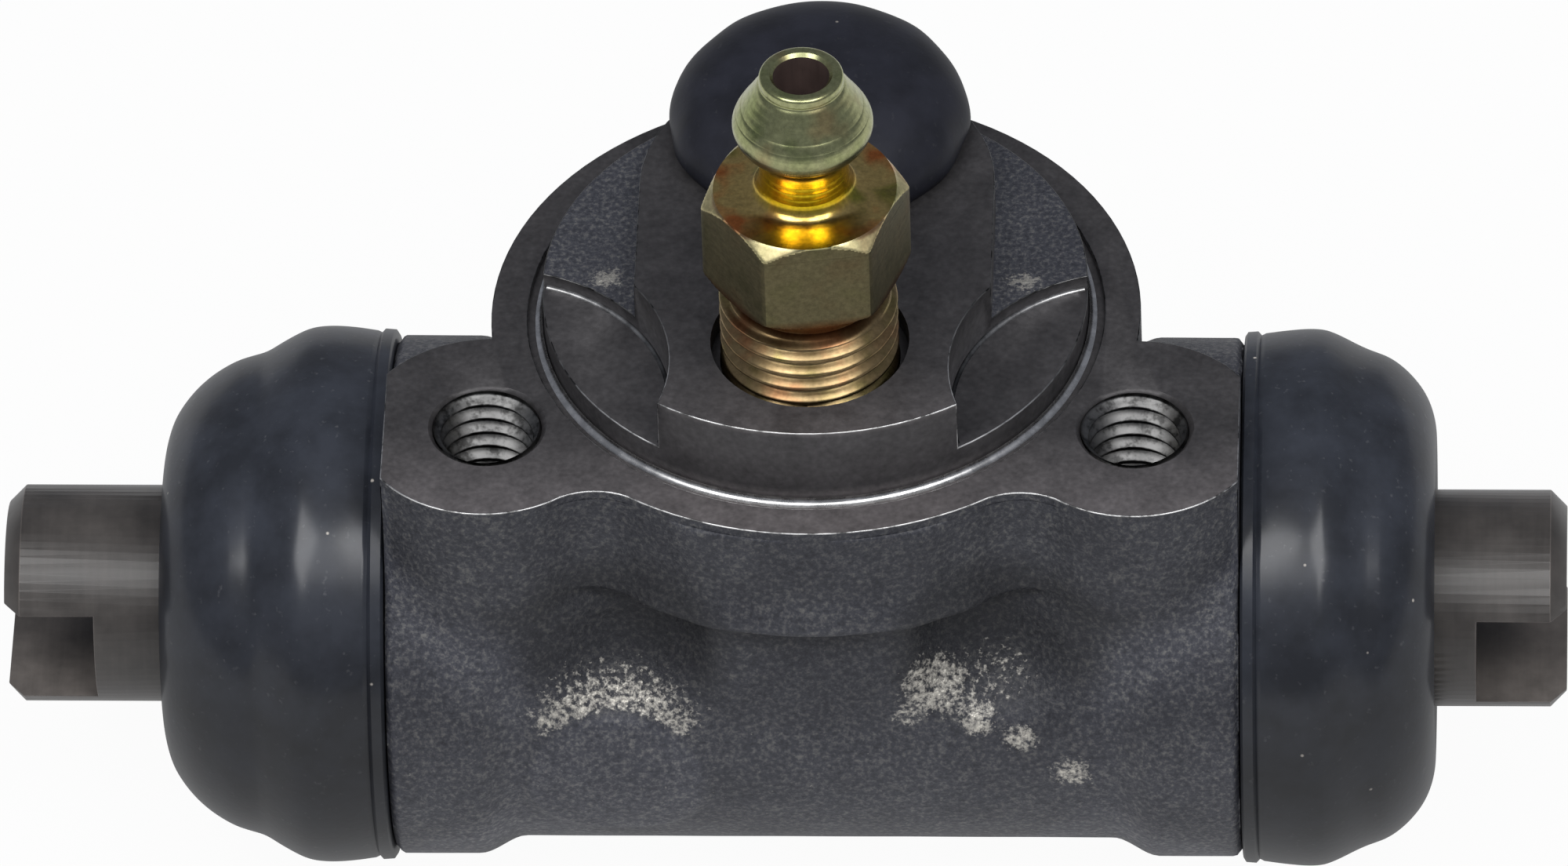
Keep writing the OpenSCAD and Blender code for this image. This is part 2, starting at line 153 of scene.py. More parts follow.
class WHEELCYL_RubberSettings(bpy.types.PropertyGroup):
    """Sizes and colours of the boots and the plug."""
    boot: colour_property("Boot", "Colour of the boot rubber", "#1b1d22")
    plug: colour_property("Plug", "Colour of the plug rubber", "#22232b")
    columns: bpy.props.IntProperty(name="Columns", description="Points round each boot and the plug",
                                   min=48, max=320, default=192)


class WHEELCYL_BleederSettings(bpy.types.PropertyGroup):
    """Sizes and colours of the bleeder screw."""
    pitch: length_property("Thread pitch", "Pitch of the bleeder thread", 1.0)
    depth: length_property("Thread depth", "Depth of the bleeder thread", 0.52)
    gold: colour_property("Gold", "Colour of the neck", "#ecc628")
    cap: colour_property("Cap", "Colour of the top of the hexagon", "#cdb16f")
    olive: colour_property("Olive", "Colour of the flats of the hexagon", "#655e45")
    chamfer: colour_property("Chamfer", "Colour of the chamfer of the hexagon", "#c2b78a")
    silver: colour_property("Silver", "Colour of the barb and the tip", "#a9ab7f")
    copper: colour_property("Copper", "Colour of the thread", "#95805d")
    rust: colour_property("Rust", "Colour under the hexagon", "#57391f")
    hole: colour_property("Hole", "Colour of the drilled hole", "#4a3b37")


class WHEELCYL_StageSettings(bpy.types.PropertyGroup):
    """Camera, lamps and floor."""
    lens: bpy.props.FloatProperty(name="Lens", description="Focal length of the camera in millimetres",
                                  min=10, max=2000, default=505)
    distance: length_property("Distance", "Distance of the camera from the bore axis", 1220)
    elevation: bpy.props.FloatProperty(name="Elevation", description="Height of the camera over the horizon",
                                       subtype="ANGLE", default=math.radians(42.7))
    yaw: bpy.props.FloatProperty(name="Yaw", description="Turn of the camera to the side",
                                 subtype="ANGLE", default=math.radians(2.35))
    roll: bpy.props.FloatProperty(name="Roll", description="Turn of the camera about its own line",
                                  subtype="ANGLE", default=math.radians(0.2))
    floor: colour_property("Floor", "Colour of the floor", "#d6d6d6")
    haze: colour_property("Haze", "Colour of the even light from all sides", "#e3e9f7")
    sky: bpy.props.FloatProperty(name="Sky", description="Strength of the even light from all sides",
                                 min=0, max=1, default=0.24)
    lamp: bpy.props.FloatProperty(name="Softboxes", min=0, max=10, default=6.0,
                                  description="Radiance of the softboxes, where 1 is white paper")


class WHEELCYL_Settings(bpy.types.PropertyGroup):
    """All settings of the wheel cylinder."""
    casting: bpy.props.PointerProperty(type=WHEELCYL_CastingSettings, name="Casting")
    steel: bpy.props.PointerProperty(type=WHEELCYL_SteelSettings, name="Steel")
    rubber: bpy.props.PointerProperty(type=WHEELCYL_RubberSettings, name="Rubber")
    bleeder: bpy.props.PointerProperty(type=WHEELCYL_BleederSettings, name="Bleeder")
    stage: bpy.props.PointerProperty(type=WHEELCYL_StageSettings, name="Stage")


# Curves and grids

def smoothstep(low, high, value):
    """Goes from 0 at low to 1 at high along 3 t squared minus 2 t cubed."""
    t = np.clip((value - low) / (high - low), 0, 1)
    return t * t * (3 - 2 * t)


def join(a, b, k):
    """Smooth smaller of two distances: the smaller one, less a quarter of k where they are equal."""
    share = np.maximum(k - np.abs(a - b), 0) / k
    return np.minimum(a, b) - share * share * k / 4


def cut(a, b, k):
    """Smooth larger of two distances, the mirror of join."""
    return -join(-a, -b, k)


def waves(p, lengths, seed):
    """Slow even waves: the mean of sines along seeded directions, one for each wave length in mm."""
    dice = np.random.default_rng(seed)
    total = np.zeros(p.shape[:-1])
    for length in lengths:
        way = dice.normal(size=3)
        way *= 2 * math.pi / (length * np.linalg.norm(way))
        total += np.sin(p @ way + dice.uniform(0, 2 * math.pi))
    return total / len(lengths)


def rounded(points, times=3):
    """Corner cutting: each leg is cut at a quarter and three quarters, and the ends stay where they are."""
    line = np.array(points, float)
    for _ in range(times):
        near, far = line[:-1], line[1:]
        inner = np.stack([near * 0.75 + far * 0.25, near * 0.25 + far * 0.75], 1).reshape(-1, 2)
        line = np.concatenate([line[:1], inner, line[-1:]])
    return line


def divided(points, longest):
    """The same line with points added, so that no leg is longer than given."""
    line = np.array(points, float)
    legs = np.hypot(*np.diff(line, axis=0).T)
    counts = np.maximum(1, np.ceil(legs / longest).astype(int))
    where = np.concatenate([np.arange(n) / n + i for i, n in enumerate(counts)] + [[len(counts)]])
    return np.stack([np.interp(where, np.arange(len(line)), line[:, i]) for i in (0, 1)], 1)


def grid_faces(rows, columns, ring=True, loop=False):
    """Four-sided faces of a grid of points in rows and columns; ring joins the last column to the first,
    loop joins the last row to the first."""
    i, j = np.meshgrid(np.arange(rows if loop else rows - 1), np.arange(columns if ring else columns - 1),
                       indexing="ij")
    a, b = (i + 1) % rows, (j + 1) % columns
    return np.stack([i * columns + j, i * columns + b, a * columns + b, a * columns + j], -1).reshape(-1, 4)


def turned(profile, columns):
    """Surface of revolution: a profile of (radius, height) carried round an axis, so that
    point (s, angle) is (radius cos angle, radius sin angle, height). Gives rows by columns by 3."""
    angle = np.arange(columns) * 2 * math.pi / columns
    radius, height = profile[:, :1], profile[:, 1:]
    return np.stack([radius * np.cos(angle), radius * np.sin(angle), height + 0 * angle], -1)


def to_bore(points, origin_x, sign):
    """Lays a turned surface along the bore: its height runs along X from origin_x, to the side of sign."""
    return np.stack([origin_x + sign * points[..., 2], BORE_Y + points[..., 0],
                     BORE_Z + sign * points[..., 1]], -1)


def on_bore(x):
    """A point of the bore axis in metres, for x in millimetres."""
    return x * MM, BORE_Y * MM, BORE_Z * MM


def put_grid(name, points, materials, body, slot, stands_for=(), ring=True, loop=False, solid=True, sharp=35):
    """Puts a grid of points into a mesh; ring and loop close it as grid_faces says."""
    faces = grid_faces(*points.shape[:2], ring, loop)
    return put_mesh(name, points, faces, materials, body, stands_for, solid, sharp)


def put_mesh(name, points, faces, materials, body, stands_for=(), solid=True, sharp=35):
    """Puts points in millimetres and faces into a mesh, closes seams and poles, and lets it ride on its body.
    A closed solid has its faces turned outwards after its doubles are merged."""
    mesh = bpy.data.meshes.new(name)
    mesh.from_pydata((points.reshape(-1, 3) * MM).tolist(), [], faces.tolist())
    made = bmesh.new()
    made.from_mesh(mesh)
    bmesh.ops.remove_doubles(made, verts=made.verts, dist=2e-7)
    bmesh.ops.dissolve_degenerate(made, edges=made.edges, dist=1e-8)
    if solid:
        bmesh.ops.recalc_face_normals(made, faces=made.faces)
    made.to_mesh(mesh)
    made.free()
    return finish_piece(name, mesh, materials, body, stands_for, sharp)


def finish_piece(name, mesh, materials, body, stands_for=(), sharp=35):
    """Shades a mesh smooth up to an angle, gives it its materials, lets it ride on its body when one is
    given, and hides the frame's parts that it stands for."""
    if not len(mesh.polygons):
        raise RuntimeError(f"{name} has no faces")
    mesh.polygons.foreach_set("use_smooth", np.ones(len(mesh.polygons), bool))
    mesh.set_sharp_from_angle(angle=math.radians(sharp))
    for material in materials:
        mesh.materials.append(material)
    piece = bpy.data.objects.new(name, mesh)
    bpy.context.scene.collection.objects.link(piece)
    if body:
        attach(piece, body)
    if stands_for:
        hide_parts(*stands_for)
    return piece


def merged_copy(node):
    """A CAD node's mesh as merged faces: doubles joined, flat triangles dissolved into whole faces."""
    made = bmesh.new()
    made.from_mesh(frame["nodes"][node].data)
    bmesh.ops.remove_doubles(made, verts=made.verts, dist=2e-6)
    bmesh.ops.dissolve_limit(made, angle_limit=math.radians(0.4), verts=made.verts, edges=made.edges)
    return made


def mesh_of(made, name):
    """Turns a bmesh into a named mesh."""
    mesh = bpy.data.meshes.new(name)
    made.to_mesh(mesh)
    made.free()
    return mesh


def rounder_stem(made, cuts):
    """Splits each facet of the stem into strips, because a grazing shadow shows the edges of wide facets."""
    def on_stem(vert):
        """Tells whether a point lies on the stem's round."""
        return abs(math.hypot(vert.co.y / MM - BORE_Y, vert.co.z / MM - BORE_Z) - STEM_R) < 0.01
    rings = [e for e in made.edges if abs(e.verts[0].co.x - e.verts[1].co.x) < 1e-7
             and all(on_stem(v) for v in e.verts)]
    if not rings:
        raise RuntimeError("the stem has no rings to split")
    bmesh.ops.subdivide_edges(made, edges=rings, cuts=cuts, use_grid_fill=True)


def push_out(mesh):
    """Moves the points that lie just inside the stem's radius out to it, straight away from the bore axis."""
    points = np.empty(len(mesh.vertices) * 3, np.float32)
    mesh.vertices.foreach_get("co", points)
    points = points.reshape(-1, 3)
    away = points[:, 1:] - np.array((BORE_Y, BORE_Z)) * MM
    off = np.hypot(*away.T) / MM
    near = (off > STEM_R - 0.03) & (off < STEM_R)
    points[near, 1:] += away[near] * (STEM_R / off[near] - 1)[:, None]
    mesh.vertices.foreach_set("co", points.ravel())


def weigh_edges(made, choose):
    """Marks the outward corners that the bevel breaks; choose takes an array of edge middles in mm."""
    layer = made.edges.layers.float.new("bevel_weight_edge")
    edges = [e for e in made.edges if len(e.link_faces) == 2 and e.is_convex
             and e.calc_face_angle(0) > math.radians(30)]
    if not edges:
        raise RuntimeError("no edge to break")
    middle = np.array([(e.verts[0].co + e.verts[1].co) / 2 for e in edges]) / MM
    for edge, weight in zip(edges, choose(middle)):
        edge[layer] = float(weight)


def break_edges(piece, width, material_index):
    """A bevel on the marked edges, faced with the bare arris."""
    bevel = piece.modifiers.new("Broken edges", "BEVEL")
    bevel.limit_method, bevel.width, bevel.segments = "WEIGHT", width, 2
    bevel.material, bevel.harden_normals, bevel.use_clamp_overlap = material_index, True, True


# Materials

TINTED = {"data_type": "RGBA"}
MULTIPLIED = {"data_type": "RGBA", "blend_type": "MULTIPLY"}


def add(tree, kind, sockets, ramp=(), output=None, **settings):
    """Adds a node with its settings, sockets and colour stops, and gives its named or first open output.
    A socket takes a value, or a link where the output of another node is given."""
    made = tree.nodes.new("ShaderNode" + kind)
    for key, value in settings.items():
        setattr(made, key, value)
    for key, value in sockets.items():
        if isinstance(value, bpy.types.NodeSocket):
            tree.links.new(value, made.inputs[key])
        else:
            made.inputs[key].default_value = value
    if ramp:
        stops = made.color_ramp.elements
        while len(stops) < len(ramp):
            stops.new(0.5)
        for stop, (place, colour) in zip(stops, sorted(ramp, key=lambda s: s[0])):
            stop.position, stop.color = place, rgba(colour)
    return made.outputs[output] if output else next(o for o in made.outputs if o.enabled)


def new_material(name, values):
    """A material with one shader; gives the material, its tree, the shader and Object coordinates."""
    material = bpy.data.materials.new(name)
    material.use_nodes = True
    tree = material.node_tree
    shader = tree.nodes["Principled BSDF"]
    for key, value in values.items():
        shader.inputs[key].default_value = value
    return material, tree, shader, add(tree, "TexCoord", {}, output="Object")


def wire(tree, shader, sockets):
    """Links outputs to the shader's sockets."""
    for key, source in sockets.items():
        tree.links.new(source, shader.inputs[key])


def per_mm(millimetres):
    """Scale of a pattern whose features are this many millimetres across."""
    return 1 / (millimetres * MM)


def shaded(colour, share):
    """A colour made darker or lighter by a share, up to white."""
    return [min(1, c * share) for c in colour]


def cast_iron(casting):
    """Grey iron, sand cast and blackened: a dull dark skin with fine grains, painted light and shade from
    the tone attribute, and bare bright grains where the attribute of the scoops says that the skin is
    rubbed; their light glint colour also paints the glints there."""
    material, tree, shader, place = new_material("Sand cast iron, blackened", {
        "Metallic": 0.0, "Specular IOR Level": 0.32, "IOR": 1.5})
    # Sand grains of about 0.3 mm, and blotches of 5 mm
    grain = add(tree, "TexNoise", {"Scale": per_mm(0.3), "Detail": 3, "Roughness": 0.7, "Vector": place})
    blotch = add(tree, "TexNoise", {"Scale": per_mm(5), "Detail": 3, "Roughness": 0.6, "Vector": place})
    skin = add(tree, "ValToRGB", {"Fac": grain}, [
        (0.3, shaded(casting.cast, 0.55)), (0.5, casting.cast), (0.72, casting.cast_light)])
    shade = add(tree, "ValToRGB", {"Fac": blotch}, [(0.35, (0.72, 0.72, 0.74)), (0.65, (1.0, 1.0, 1.0))])
    dusty = add(tree, "Mix", {"Factor": 1.0, "A": skin, "B": shade}, **MULTIPLIED)
    # The shoulders of the pilot, above 1.8 mm, are made up to 1.35 times lighter than the rest
    height = add(tree, "SeparateXYZ", {"Vector": place}, output="Z")
    dust = add(tree, "MapRange", {"Value": height, "From Min": 1.2 * MM, "From Max": 1.8 * MM,
                                  "To Min": 1.0, "To Max": 1.35})
    # The tone attribute carries the skin's painted light and shade
    tone = add(tree, "Attribute", {}, output="Fac", attribute_name="tone")
    form = add(tree, "Math", {0: tone, 1: dust}, operation="ADD")
    toned = add(tree, "Mix", {"Factor": 1.0, "A": dusty, "B": form}, **MULTIPLIED)
    # A scar of 2 mm on each shoulder, at the same place on both sides
    mirrored = add(tree, "VectorMath", {0: place}, operation="ABSOLUTE")
    away = add(tree, "VectorMath", {0: mirrored, 1: (0.0115, 0.0093, 0.0024)}, output="Value",
               operation="DISTANCE")
    scar = add(tree, "MapRange", {"Value": away, "From Min": 1.9 * MM, "From Max": 0.3 * MM, "To Max": 0.95})
    rubbed = add(tree, "Attribute", {}, output="Fac", attribute_name="rubbed")
    rub = add(tree, "Math", {0: rubbed, 1: scar}, operation="MAXIMUM")
    # A fleck is bare where the grain stands higher than the rest of the skin left there
    fleck = add(tree, "TexNoise", {"Scale": per_mm(0.32), "Detail": 3, "Roughness": 0.7, "Vector": place})
    high = add(tree, "Math", {0: rub, 1: 0.41, 2: -0.34}, operation="MULTIPLY_ADD")
    above = add(tree, "Math", {0: high, 1: fleck}, operation="ADD")
    bare = add(tree, "MapRange", {"Value": above, "From Min": 0.445, "From Max": 0.72})
    # The bare grains take the glint colour, a painted highlight as well as bare metal
    colour = add(tree, "Mix", {"Factor": bare, "A": toned, "B": rgba(casting.glint)}, **TINTED)
    rough = add(tree, "MapRange", {"Value": bare, "To Min": 0.52, "To Max": 0.4})
    pitted = add(tree, "Math", {0: rub, 1: fleck}, operation="MULTIPLY")
    deep = add(tree, "Math", {0: pitted, 1: 1.6, 2: grain}, operation="MULTIPLY_ADD")
    bump = add(tree, "Bump", {"Height": deep, "Strength": 0.75, "Distance": 0.11 * MM})
    wire(tree, shader, {"Base Color": colour, "Metallic": bare, "Roughness": rough, "Normal": bump})
    return material


def machined_iron(casting):
    """Grey iron, turned and faced, then blackened: a little lighter and smoother than the cast skin,
    with fine rings round the pilot axis."""
    material, tree, shader, place = new_material("Turned iron, blackened", {
        "Metallic": 0.45, "Specular IOR Level": 0.4})
    centred = add(tree, "Mapping", {"Location": (0, -PILOT_Y * MM, 0), "Vector": place})
    # Turning marks are about 0.1 mm apart; they are drawn 0.3 mm apart so that they show
    rings = add(tree, "TexWave", {"Scale": per_mm(0.3) / 20, "Distortion": 0.4, "Detail": 2,
                                  "Detail Scale": 1.5, "Vector": centred},
                output="Fac", wave_type="RINGS", rings_direction="Z")
    stain = add(tree, "TexNoise", {"Scale": per_mm(2.2), "Detail": 4, "Roughness": 0.65, "Vector": place})
    fine = add(tree, "TexNoise", {"Scale": per_mm(0.35), "Detail": 2, "Vector": place})
    mixed = add(tree, "Mix", {"Factor": 0.45, "A": stain, "B": fine}, data_type="FLOAT")
    colour = add(tree, "ValToRGB", {"Fac": mixed}, [
        (0.3, shaded(casting.machined, 0.6)), (0.52, casting.machined),
        (0.75, shaded(casting.machined, 1.5))])
    # Painted highlight: to the front, the flange face and the highest faces are up to 2.6 times lighter
    front = add(tree, "MapRange", {"Value": add(tree, "SeparateXYZ", {"Vector": place}, output="Y"),
                                   "From Min": 0.0, "From Max": -7.5 * MM})
    level = add(tree, "MapRange", {"Value": add(tree, "SeparateXYZ", {"Vector": place}, output="Z"),
                                   "From Min": -1 * MM, "From Max": 5 * MM})
    faces = add(tree, "ValToRGB", {"Fac": level}, [
        (0.2, (1, 1, 1)), (0.28, (0, 0, 0)), (0.9, (0, 0, 0)), (0.95, (0.7, 0.7, 0.7))])
    share = add(tree, "Math", {0: front, 1: faces}, operation="MULTIPLY")
    bright = add(tree, "Mix", {"Factor": 1.0, "A": colour, "B": (2.6, 2.5, 2.45, 1.0)}, **MULTIPLIED)
    faced = add(tree, "Mix", {"Factor": share, "A": colour, "B": bright}, **TINTED)
    rough = add(tree, "MapRange", {"Value": stain, "To Min": 0.36, "To Max": 0.58})
    height = add(tree, "Math", {0: rings, 1: 1.2, 2: fine}, operation="MULTIPLY_ADD")
    bump = add(tree, "Bump", {"Height": height, "Strength": 0.35, "Distance": 0.04 * MM})
    wire(tree, shader, {"Base Color": faced, "Roughness": rough, "Normal": bump})
    return material


def bare_iron(casting, name, tint, rough, dull, dash=0.9, along=(0, 1, 1)):
    """Iron rubbed or cut to the bare metal: bright and uneven along its length, in dashes of the given
    millimetres. Along paints a highlight: the Y in mm where the colour is dullest and where it is
    brightest, and the share of the brightness that is left at the dull end."""
    material, tree, shader, place = new_material(name, {"Metallic": 1.0})
    spots = add(tree, "TexNoise", {"Scale": per_mm(dash), "Detail": 3, "Roughness": 0.7, "Vector": place})
    colour = add(tree, "ValToRGB", {"Fac": spots}, [
        (0.38, shaded(casting.bare, dull * tint)), (0.5, shaded(casting.bare, 0.8 * tint)),
        (0.62, shaded(casting.bare, tint))])
    # Painted highlight: the colour is scaled from the share at one Y up to full at the other
    share = add(tree, "MapRange", {"Value": add(tree, "SeparateXYZ", {"Vector": place}, output="Y"),
                                   "From Min": along[0] * MM, "From Max": along[1] * MM,
                                   "To Min": along[2], "To Max": 1.0})
    worn = add(tree, "Mix", {"Factor": 1.0, "A": colour, "B": share}, **MULTIPLIED)
    matt = add(tree, "MapRange", {"Value": spots, "To Min": rough[0], "To Max": rough[1]})
    wire(tree, shader, {"Base Color": worn, "Roughness": matt})
    return material


def turned_steel(name, colour, metal, marks, streak, rough):
    """Steel turned along the bore: fine rings across its length and slow stains. Phosphated and oiled it is
    dark brown and takes the lights like a varnish, drawn wire shows the bare metal. Marks is the spacing of
    the rings in mm, and streak is how strong they are."""
    material, tree, shader, place = new_material(name, {"Metallic": metal, "Specular IOR Level": 0.6})
    # Feed marks are drawn as coarse as given, because the real ones are too fine to show
    stretched = add(tree, "Mapping", {"Scale": (1.0, 0.06, 0.06), "Vector": place})
    lines = add(tree, "TexNoise", {"Scale": per_mm(marks), "Detail": 3, "Roughness": 0.6,
                                   "Vector": stretched})
    stain = add(tree, "TexNoise", {"Scale": per_mm(2.8), "Detail": 4, "Roughness": 0.6, "Vector": place})
    mixed = add(tree, "Mix", {"Factor": 1 - streak, "A": lines, "B": stain}, data_type="FLOAT")
    tone = add(tree, "ValToRGB", {"Fac": mixed}, [
        (0.32, shaded(colour, 0.65)), (0.5, colour), (0.7, shaded(colour, 1.4))])
    matt = add(tree, "MapRange", {"Value": stain, "To Min": rough[0], "To Max": rough[1]})
    bump = add(tree, "Bump", {"Height": lines, "Strength": 0.6 * streak, "Distance": 0.03 * MM})
    wire(tree, shader, {"Base Color": tone, "Roughness": matt, "Normal": bump})
    return material


def moulded_rubber(name, colour, rough, level, bloom, dust_and_top_light=(0, 1, 1.0)):
    """Synthetic rubber, moulded: near black and dull, slightly uneven, with a trace of dust and a few pale
    specks. Bloom is the share of the skin that a waxy film covers, which takes the lights without a pale rim.
    The last argument gives the two heights in mm between which it is painted lighter towards the top, as
    light from above with some dust, and how much lighter it gets."""
    material, tree, shader, place = new_material(name, {
        "Specular IOR Level": level, "IOR": 1.5,
        "Coat Weight": bloom, "Coat IOR": 1.9, "Coat Roughness": 0.22})
    cloud = add(tree, "TexNoise", {"Scale": per_mm(3.5), "Detail": 4, "Roughness": 0.6, "Vector": place})
    dust = add(tree, "TexNoise", {"Scale": per_mm(0.4), "Detail": 2, "Vector": place})
    speck = add(tree, "MapRange", {"Value": dust, "From Min": 0.66, "From Max": 0.8, "To Max": 0.35})
    base = add(tree, "ValToRGB", {"Fac": cloud}, [(0.35, shaded(colour, 0.7)), (0.65, shaded(colour, 1.35))])
    toned = add(tree, "Mix", {"Factor": speck, "A": base, "B": rgba(linear("#4a4a4c"))}, **TINTED)
    # Specks of lint of about 0.2 mm lie 3 mm apart
    cell = add(tree, "TexVoronoi", {"Scale": per_mm(3), "Vector": place}, output="Distance")
    lint = add(tree, "MapRange", {"Value": cell, "From Min": 0.04, "From Max": 0.02, "To Max": 0.7})
    dusted = add(tree, "Mix", {"Factor": lint, "A": toned, "B": rgba(linear("#a09a92"))}, **TINTED)
    # Painted light from above, with some dust: lighter towards the top, up to the share given last
    top_lighter = add(tree, "MapRange", {"Value": add(tree, "SeparateXYZ", {"Vector": place}, output="Z"),
                                  "From Min": dust_and_top_light[0] * MM, "From Max": dust_and_top_light[1] * MM,
                                  "To Min": 1.0, "To Max": dust_and_top_light[2]})
    top_lit = add(tree, "Mix", {"Factor": 1.0, "A": dusted, "B": top_lighter}, **MULTIPLIED)
    matt = add(tree, "MapRange", {"Value": cloud, "To Min": rough[0], "To Max": rough[1]})
    bump = add(tree, "Bump", {"Height": dust, "Strength": 0.25, "Distance": 0.04 * MM})
    wire(tree, shader, {"Base Color": top_lit, "Roughness": matt, "Normal": bump})
    return material


def yellow_zinc(name, tones):
    """Steel, zinc plated and passivated yellow: gold that drifts to olive, copper and silver with height,
    with pink and green clouds, and fine turning rings. Tones are pairs of height over the column in mm and
    colour."""
    low, high = -2, TIP_RISE

    def by_height(rows):
        """Colour stops at heights over the column, in mm."""
        return [((height - low) / (high - low), colour) for height, colour in rows]
    material, tree, shader, place = new_material(name, {"Metallic": 1.0})
    cloud = add(tree, "TexNoise", {"Scale": per_mm(2.6), "Detail": 3, "Roughness": 0.6, "Vector": place})
    rise = add(tree, "SeparateXYZ", {"Vector": place}, output="Z")
    drift = add(tree, "Math", {0: cloud, 1: 0.4 * MM, 2: -0.2 * MM}, operation="MULTIPLY_ADD")
    where = add(tree, "Math", {0: rise, 1: drift}, operation="ADD")
    share = add(tree, "MapRange", {"Value": where, "From Min": (COLUMN_Z + low) * MM,
                                   "From Max": (COLUMN_Z + high) * MM})
    tone = add(tree, "ValToRGB", {"Fac": share}, by_height(tones))
    tint = add(tree, "TexNoise", {"Scale": per_mm(2.6), "Detail": 2, "Vector": place})
    hue = add(tree, "ValToRGB", {"Fac": tint}, [
        (0.32, linear("#b2cf86")), (0.46, (1, 1, 1)), (0.54, (1, 1, 1)), (0.7, linear("#ec9a88"))])
    # The flats of the hexagon are nearly plain, the cap and the thread show the most colour
    clouded = add(tree, "ValToRGB", {"Fac": share}, by_height(
        (height, [part] * 3) for height, part in (
            (4, 0.55), (5.9, 0.2), (11.05, 0.2), (11.15, 0.9), (11.6, 0.9), (12, 0.15), (14, 0.35))))
    mixed = add(tree, "Mix", {"Factor": clouded, "A": tone, "B": hue}, **MULTIPLIED)
    # A satin mottle of 0.3 mm lies over all of it
    mottle = add(tree, "TexNoise", {"Scale": per_mm(0.3), "Detail": 3, "Roughness": 0.7, "Vector": place})
    depth = add(tree, "MapRange", {"Value": mottle, "From Min": 0.3, "From Max": 0.7,
                                   "To Min": 0.76, "To Max": 1.2})
    mottled = add(tree, "Mix", {"Factor": 1.0, "A": mixed, "B": depth}, **MULTIPLIED)
    # The flats are satin, the cap and the neck are smooth
    satin = add(tree, "ValToRGB", {"Fac": share}, by_height(
        (height, [part] * 3) for height, part in (
            (4, 0.2), (5.9, 0.34), (11.05, 0.34), (11.15, 0.1), (14, 0.12), (15.2, 0.18))))
    rough = add(tree, "Math", {0: cloud, 1: 0.2, 2: satin}, operation="MULTIPLY_ADD")
    # Turning rings of 0.35 mm across the height
    flat = add(tree, "Mapping", {"Scale": (0.04, 0.04, 1.0), "Vector": place})
    rings = add(tree, "TexNoise", {"Scale": per_mm(0.35), "Detail": 2, "Vector": flat})
    bump = add(tree, "Bump", {"Height": rings, "Strength": 0.3, "Distance": 0.04 * MM})
    wire(tree, shader, {"Base Color": mottled, "Roughness": rough, "Normal": bump})
    return material


# The cast body

def flange_outline(x, y):
    """Distance in plan from the outline of the flange: a disc about the pilot axis, an ear round each hole,
    and a valley of radius 4 that touches both on the front side."""
    ear_r, flange_r, valley_r = 7.1, 17.9, 4.0
    side = np.abs(x)
    disc = np.hypot(side, y - PILOT_Y) - flange_r
    ear = np.hypot(side - HOLE_X, y) - ear_r
    span = math.hypot(HOLE_X, PILOT_Y)
    a, b = ear_r + valley_r, flange_r + valley_r
    along = (b * b - a * a + span * span) / (2 * span)
    off = math.sqrt(b * b - along * along)
    vx = (along * HOLE_X - off * PILOT_Y) / span
    vy = PILOT_Y - (along * PILOT_Y + off * HOLE_X) / span
    # Inside the three corners ear, valley and pilot the outline is the valley circle
    corners = np.array([[HOLE_X, 0], [vx, vy], [0, PILOT_Y]])
    inside = np.ones(np.shape(side + y), bool)
    for p, q in zip(corners, np.roll(corners, -1, 0)):
        inside &= (q[0] - p[0]) * (y - p[1]) - (q[1] - p[1]) * (side - p[0]) <= 0
    valley = valley_r - np.hypot(side - vx, y - vy)
    plain = np.minimum(disc, ear)
    return np.where(inside, np.minimum(plain, valley), plain), ear


def around_pad(x, turn):
    """Steps across and up from the middle of the round pad, measured on the unrolled barrel."""
    return x - PAD_X, WAIST_R * (turn - PAD_TURN)


def scoop_depth(x, v, h):
    """How far a point lies inside the ball that sinks each scoop, and how far from the round pad's middle."""
    reach = WAIST_R - SCOOP_SINK + SCOOP_R
    ball = SCOOP_R - np.sqrt((np.abs(x) - SCOOP_X) ** 2 + (v - reach * math.sin(SCOOP_TURN)) ** 2
                             + (h - reach * math.cos(SCOOP_TURN)) ** 2)
    return ball, np.hypot(*around_pad(x, np.arctan2(h, v)))


def painted_skin_light_and_shade(p, normal):
    """How light the skin is, as painted light and shade: painted shade darkens the scoops and the corner
    under the flange, painted light from above lightens what faces up, the lip of the flange and the foot
    of each ear get painted highlights, and the lower front with its pad is painted lighter, standing for
    light from the floor and the front. The rounded ends of the collars are made lighter too."""
    x, v, h = p[:, 0], BORE_Y - p[:, 1], p[:, 2] - BORE_Z
    ball, pad = scoop_depth(x, v, h)
    _, ear = flange_outline(x, p[:, 1])
    # Each mark is painted light or shade: hollow and corner paint shade; up, lip, foot, low and the pad paint
    # light
    lip = smoothstep(-8.0, -7.45, p[:, 2]) * (1 - smoothstep(-7.2, -6.4, p[:, 2]))
    lip = lip * (v > 5) * (np.abs(x) < 13)
    rim = smoothstep(22.85, 23.25, np.abs(x))
    foot = np.hypot(ear, np.hypot(v, h) - WAIST_R - smoothstep(*COLLAR_RISE, np.abs(x)))
    foot = (1 - smoothstep(0.4, 1.9, foot)) * (v > 2)
    hollow = smoothstep(-2.2, -0.1, ball) * smoothstep(1.0, 6.5, h) * (v > 0)
    corner = smoothstep(-10.6, -7.8, p[:, 2]) * (1 - smoothstep(-7.6, -6.6, p[:, 2])) * (v > 5)
    low = (1 - smoothstep(-5, 5.5, h)) * (v > 0)
    up = smoothstep(0.15, 0.65, normal[:, 2]) * (1 - hollow)
    return (1 - 0.5 * hollow - 0.22 * corner * (1 - hollow) + 0.46 * low + 0.3 * up
            + 0.5 * np.maximum(lip, foot) * (1 - 0.8 * hollow) + 0.5 * rim
            + 0.45 * (1 - smoothstep(4.7, 5.1, pad)) * (v > 0))


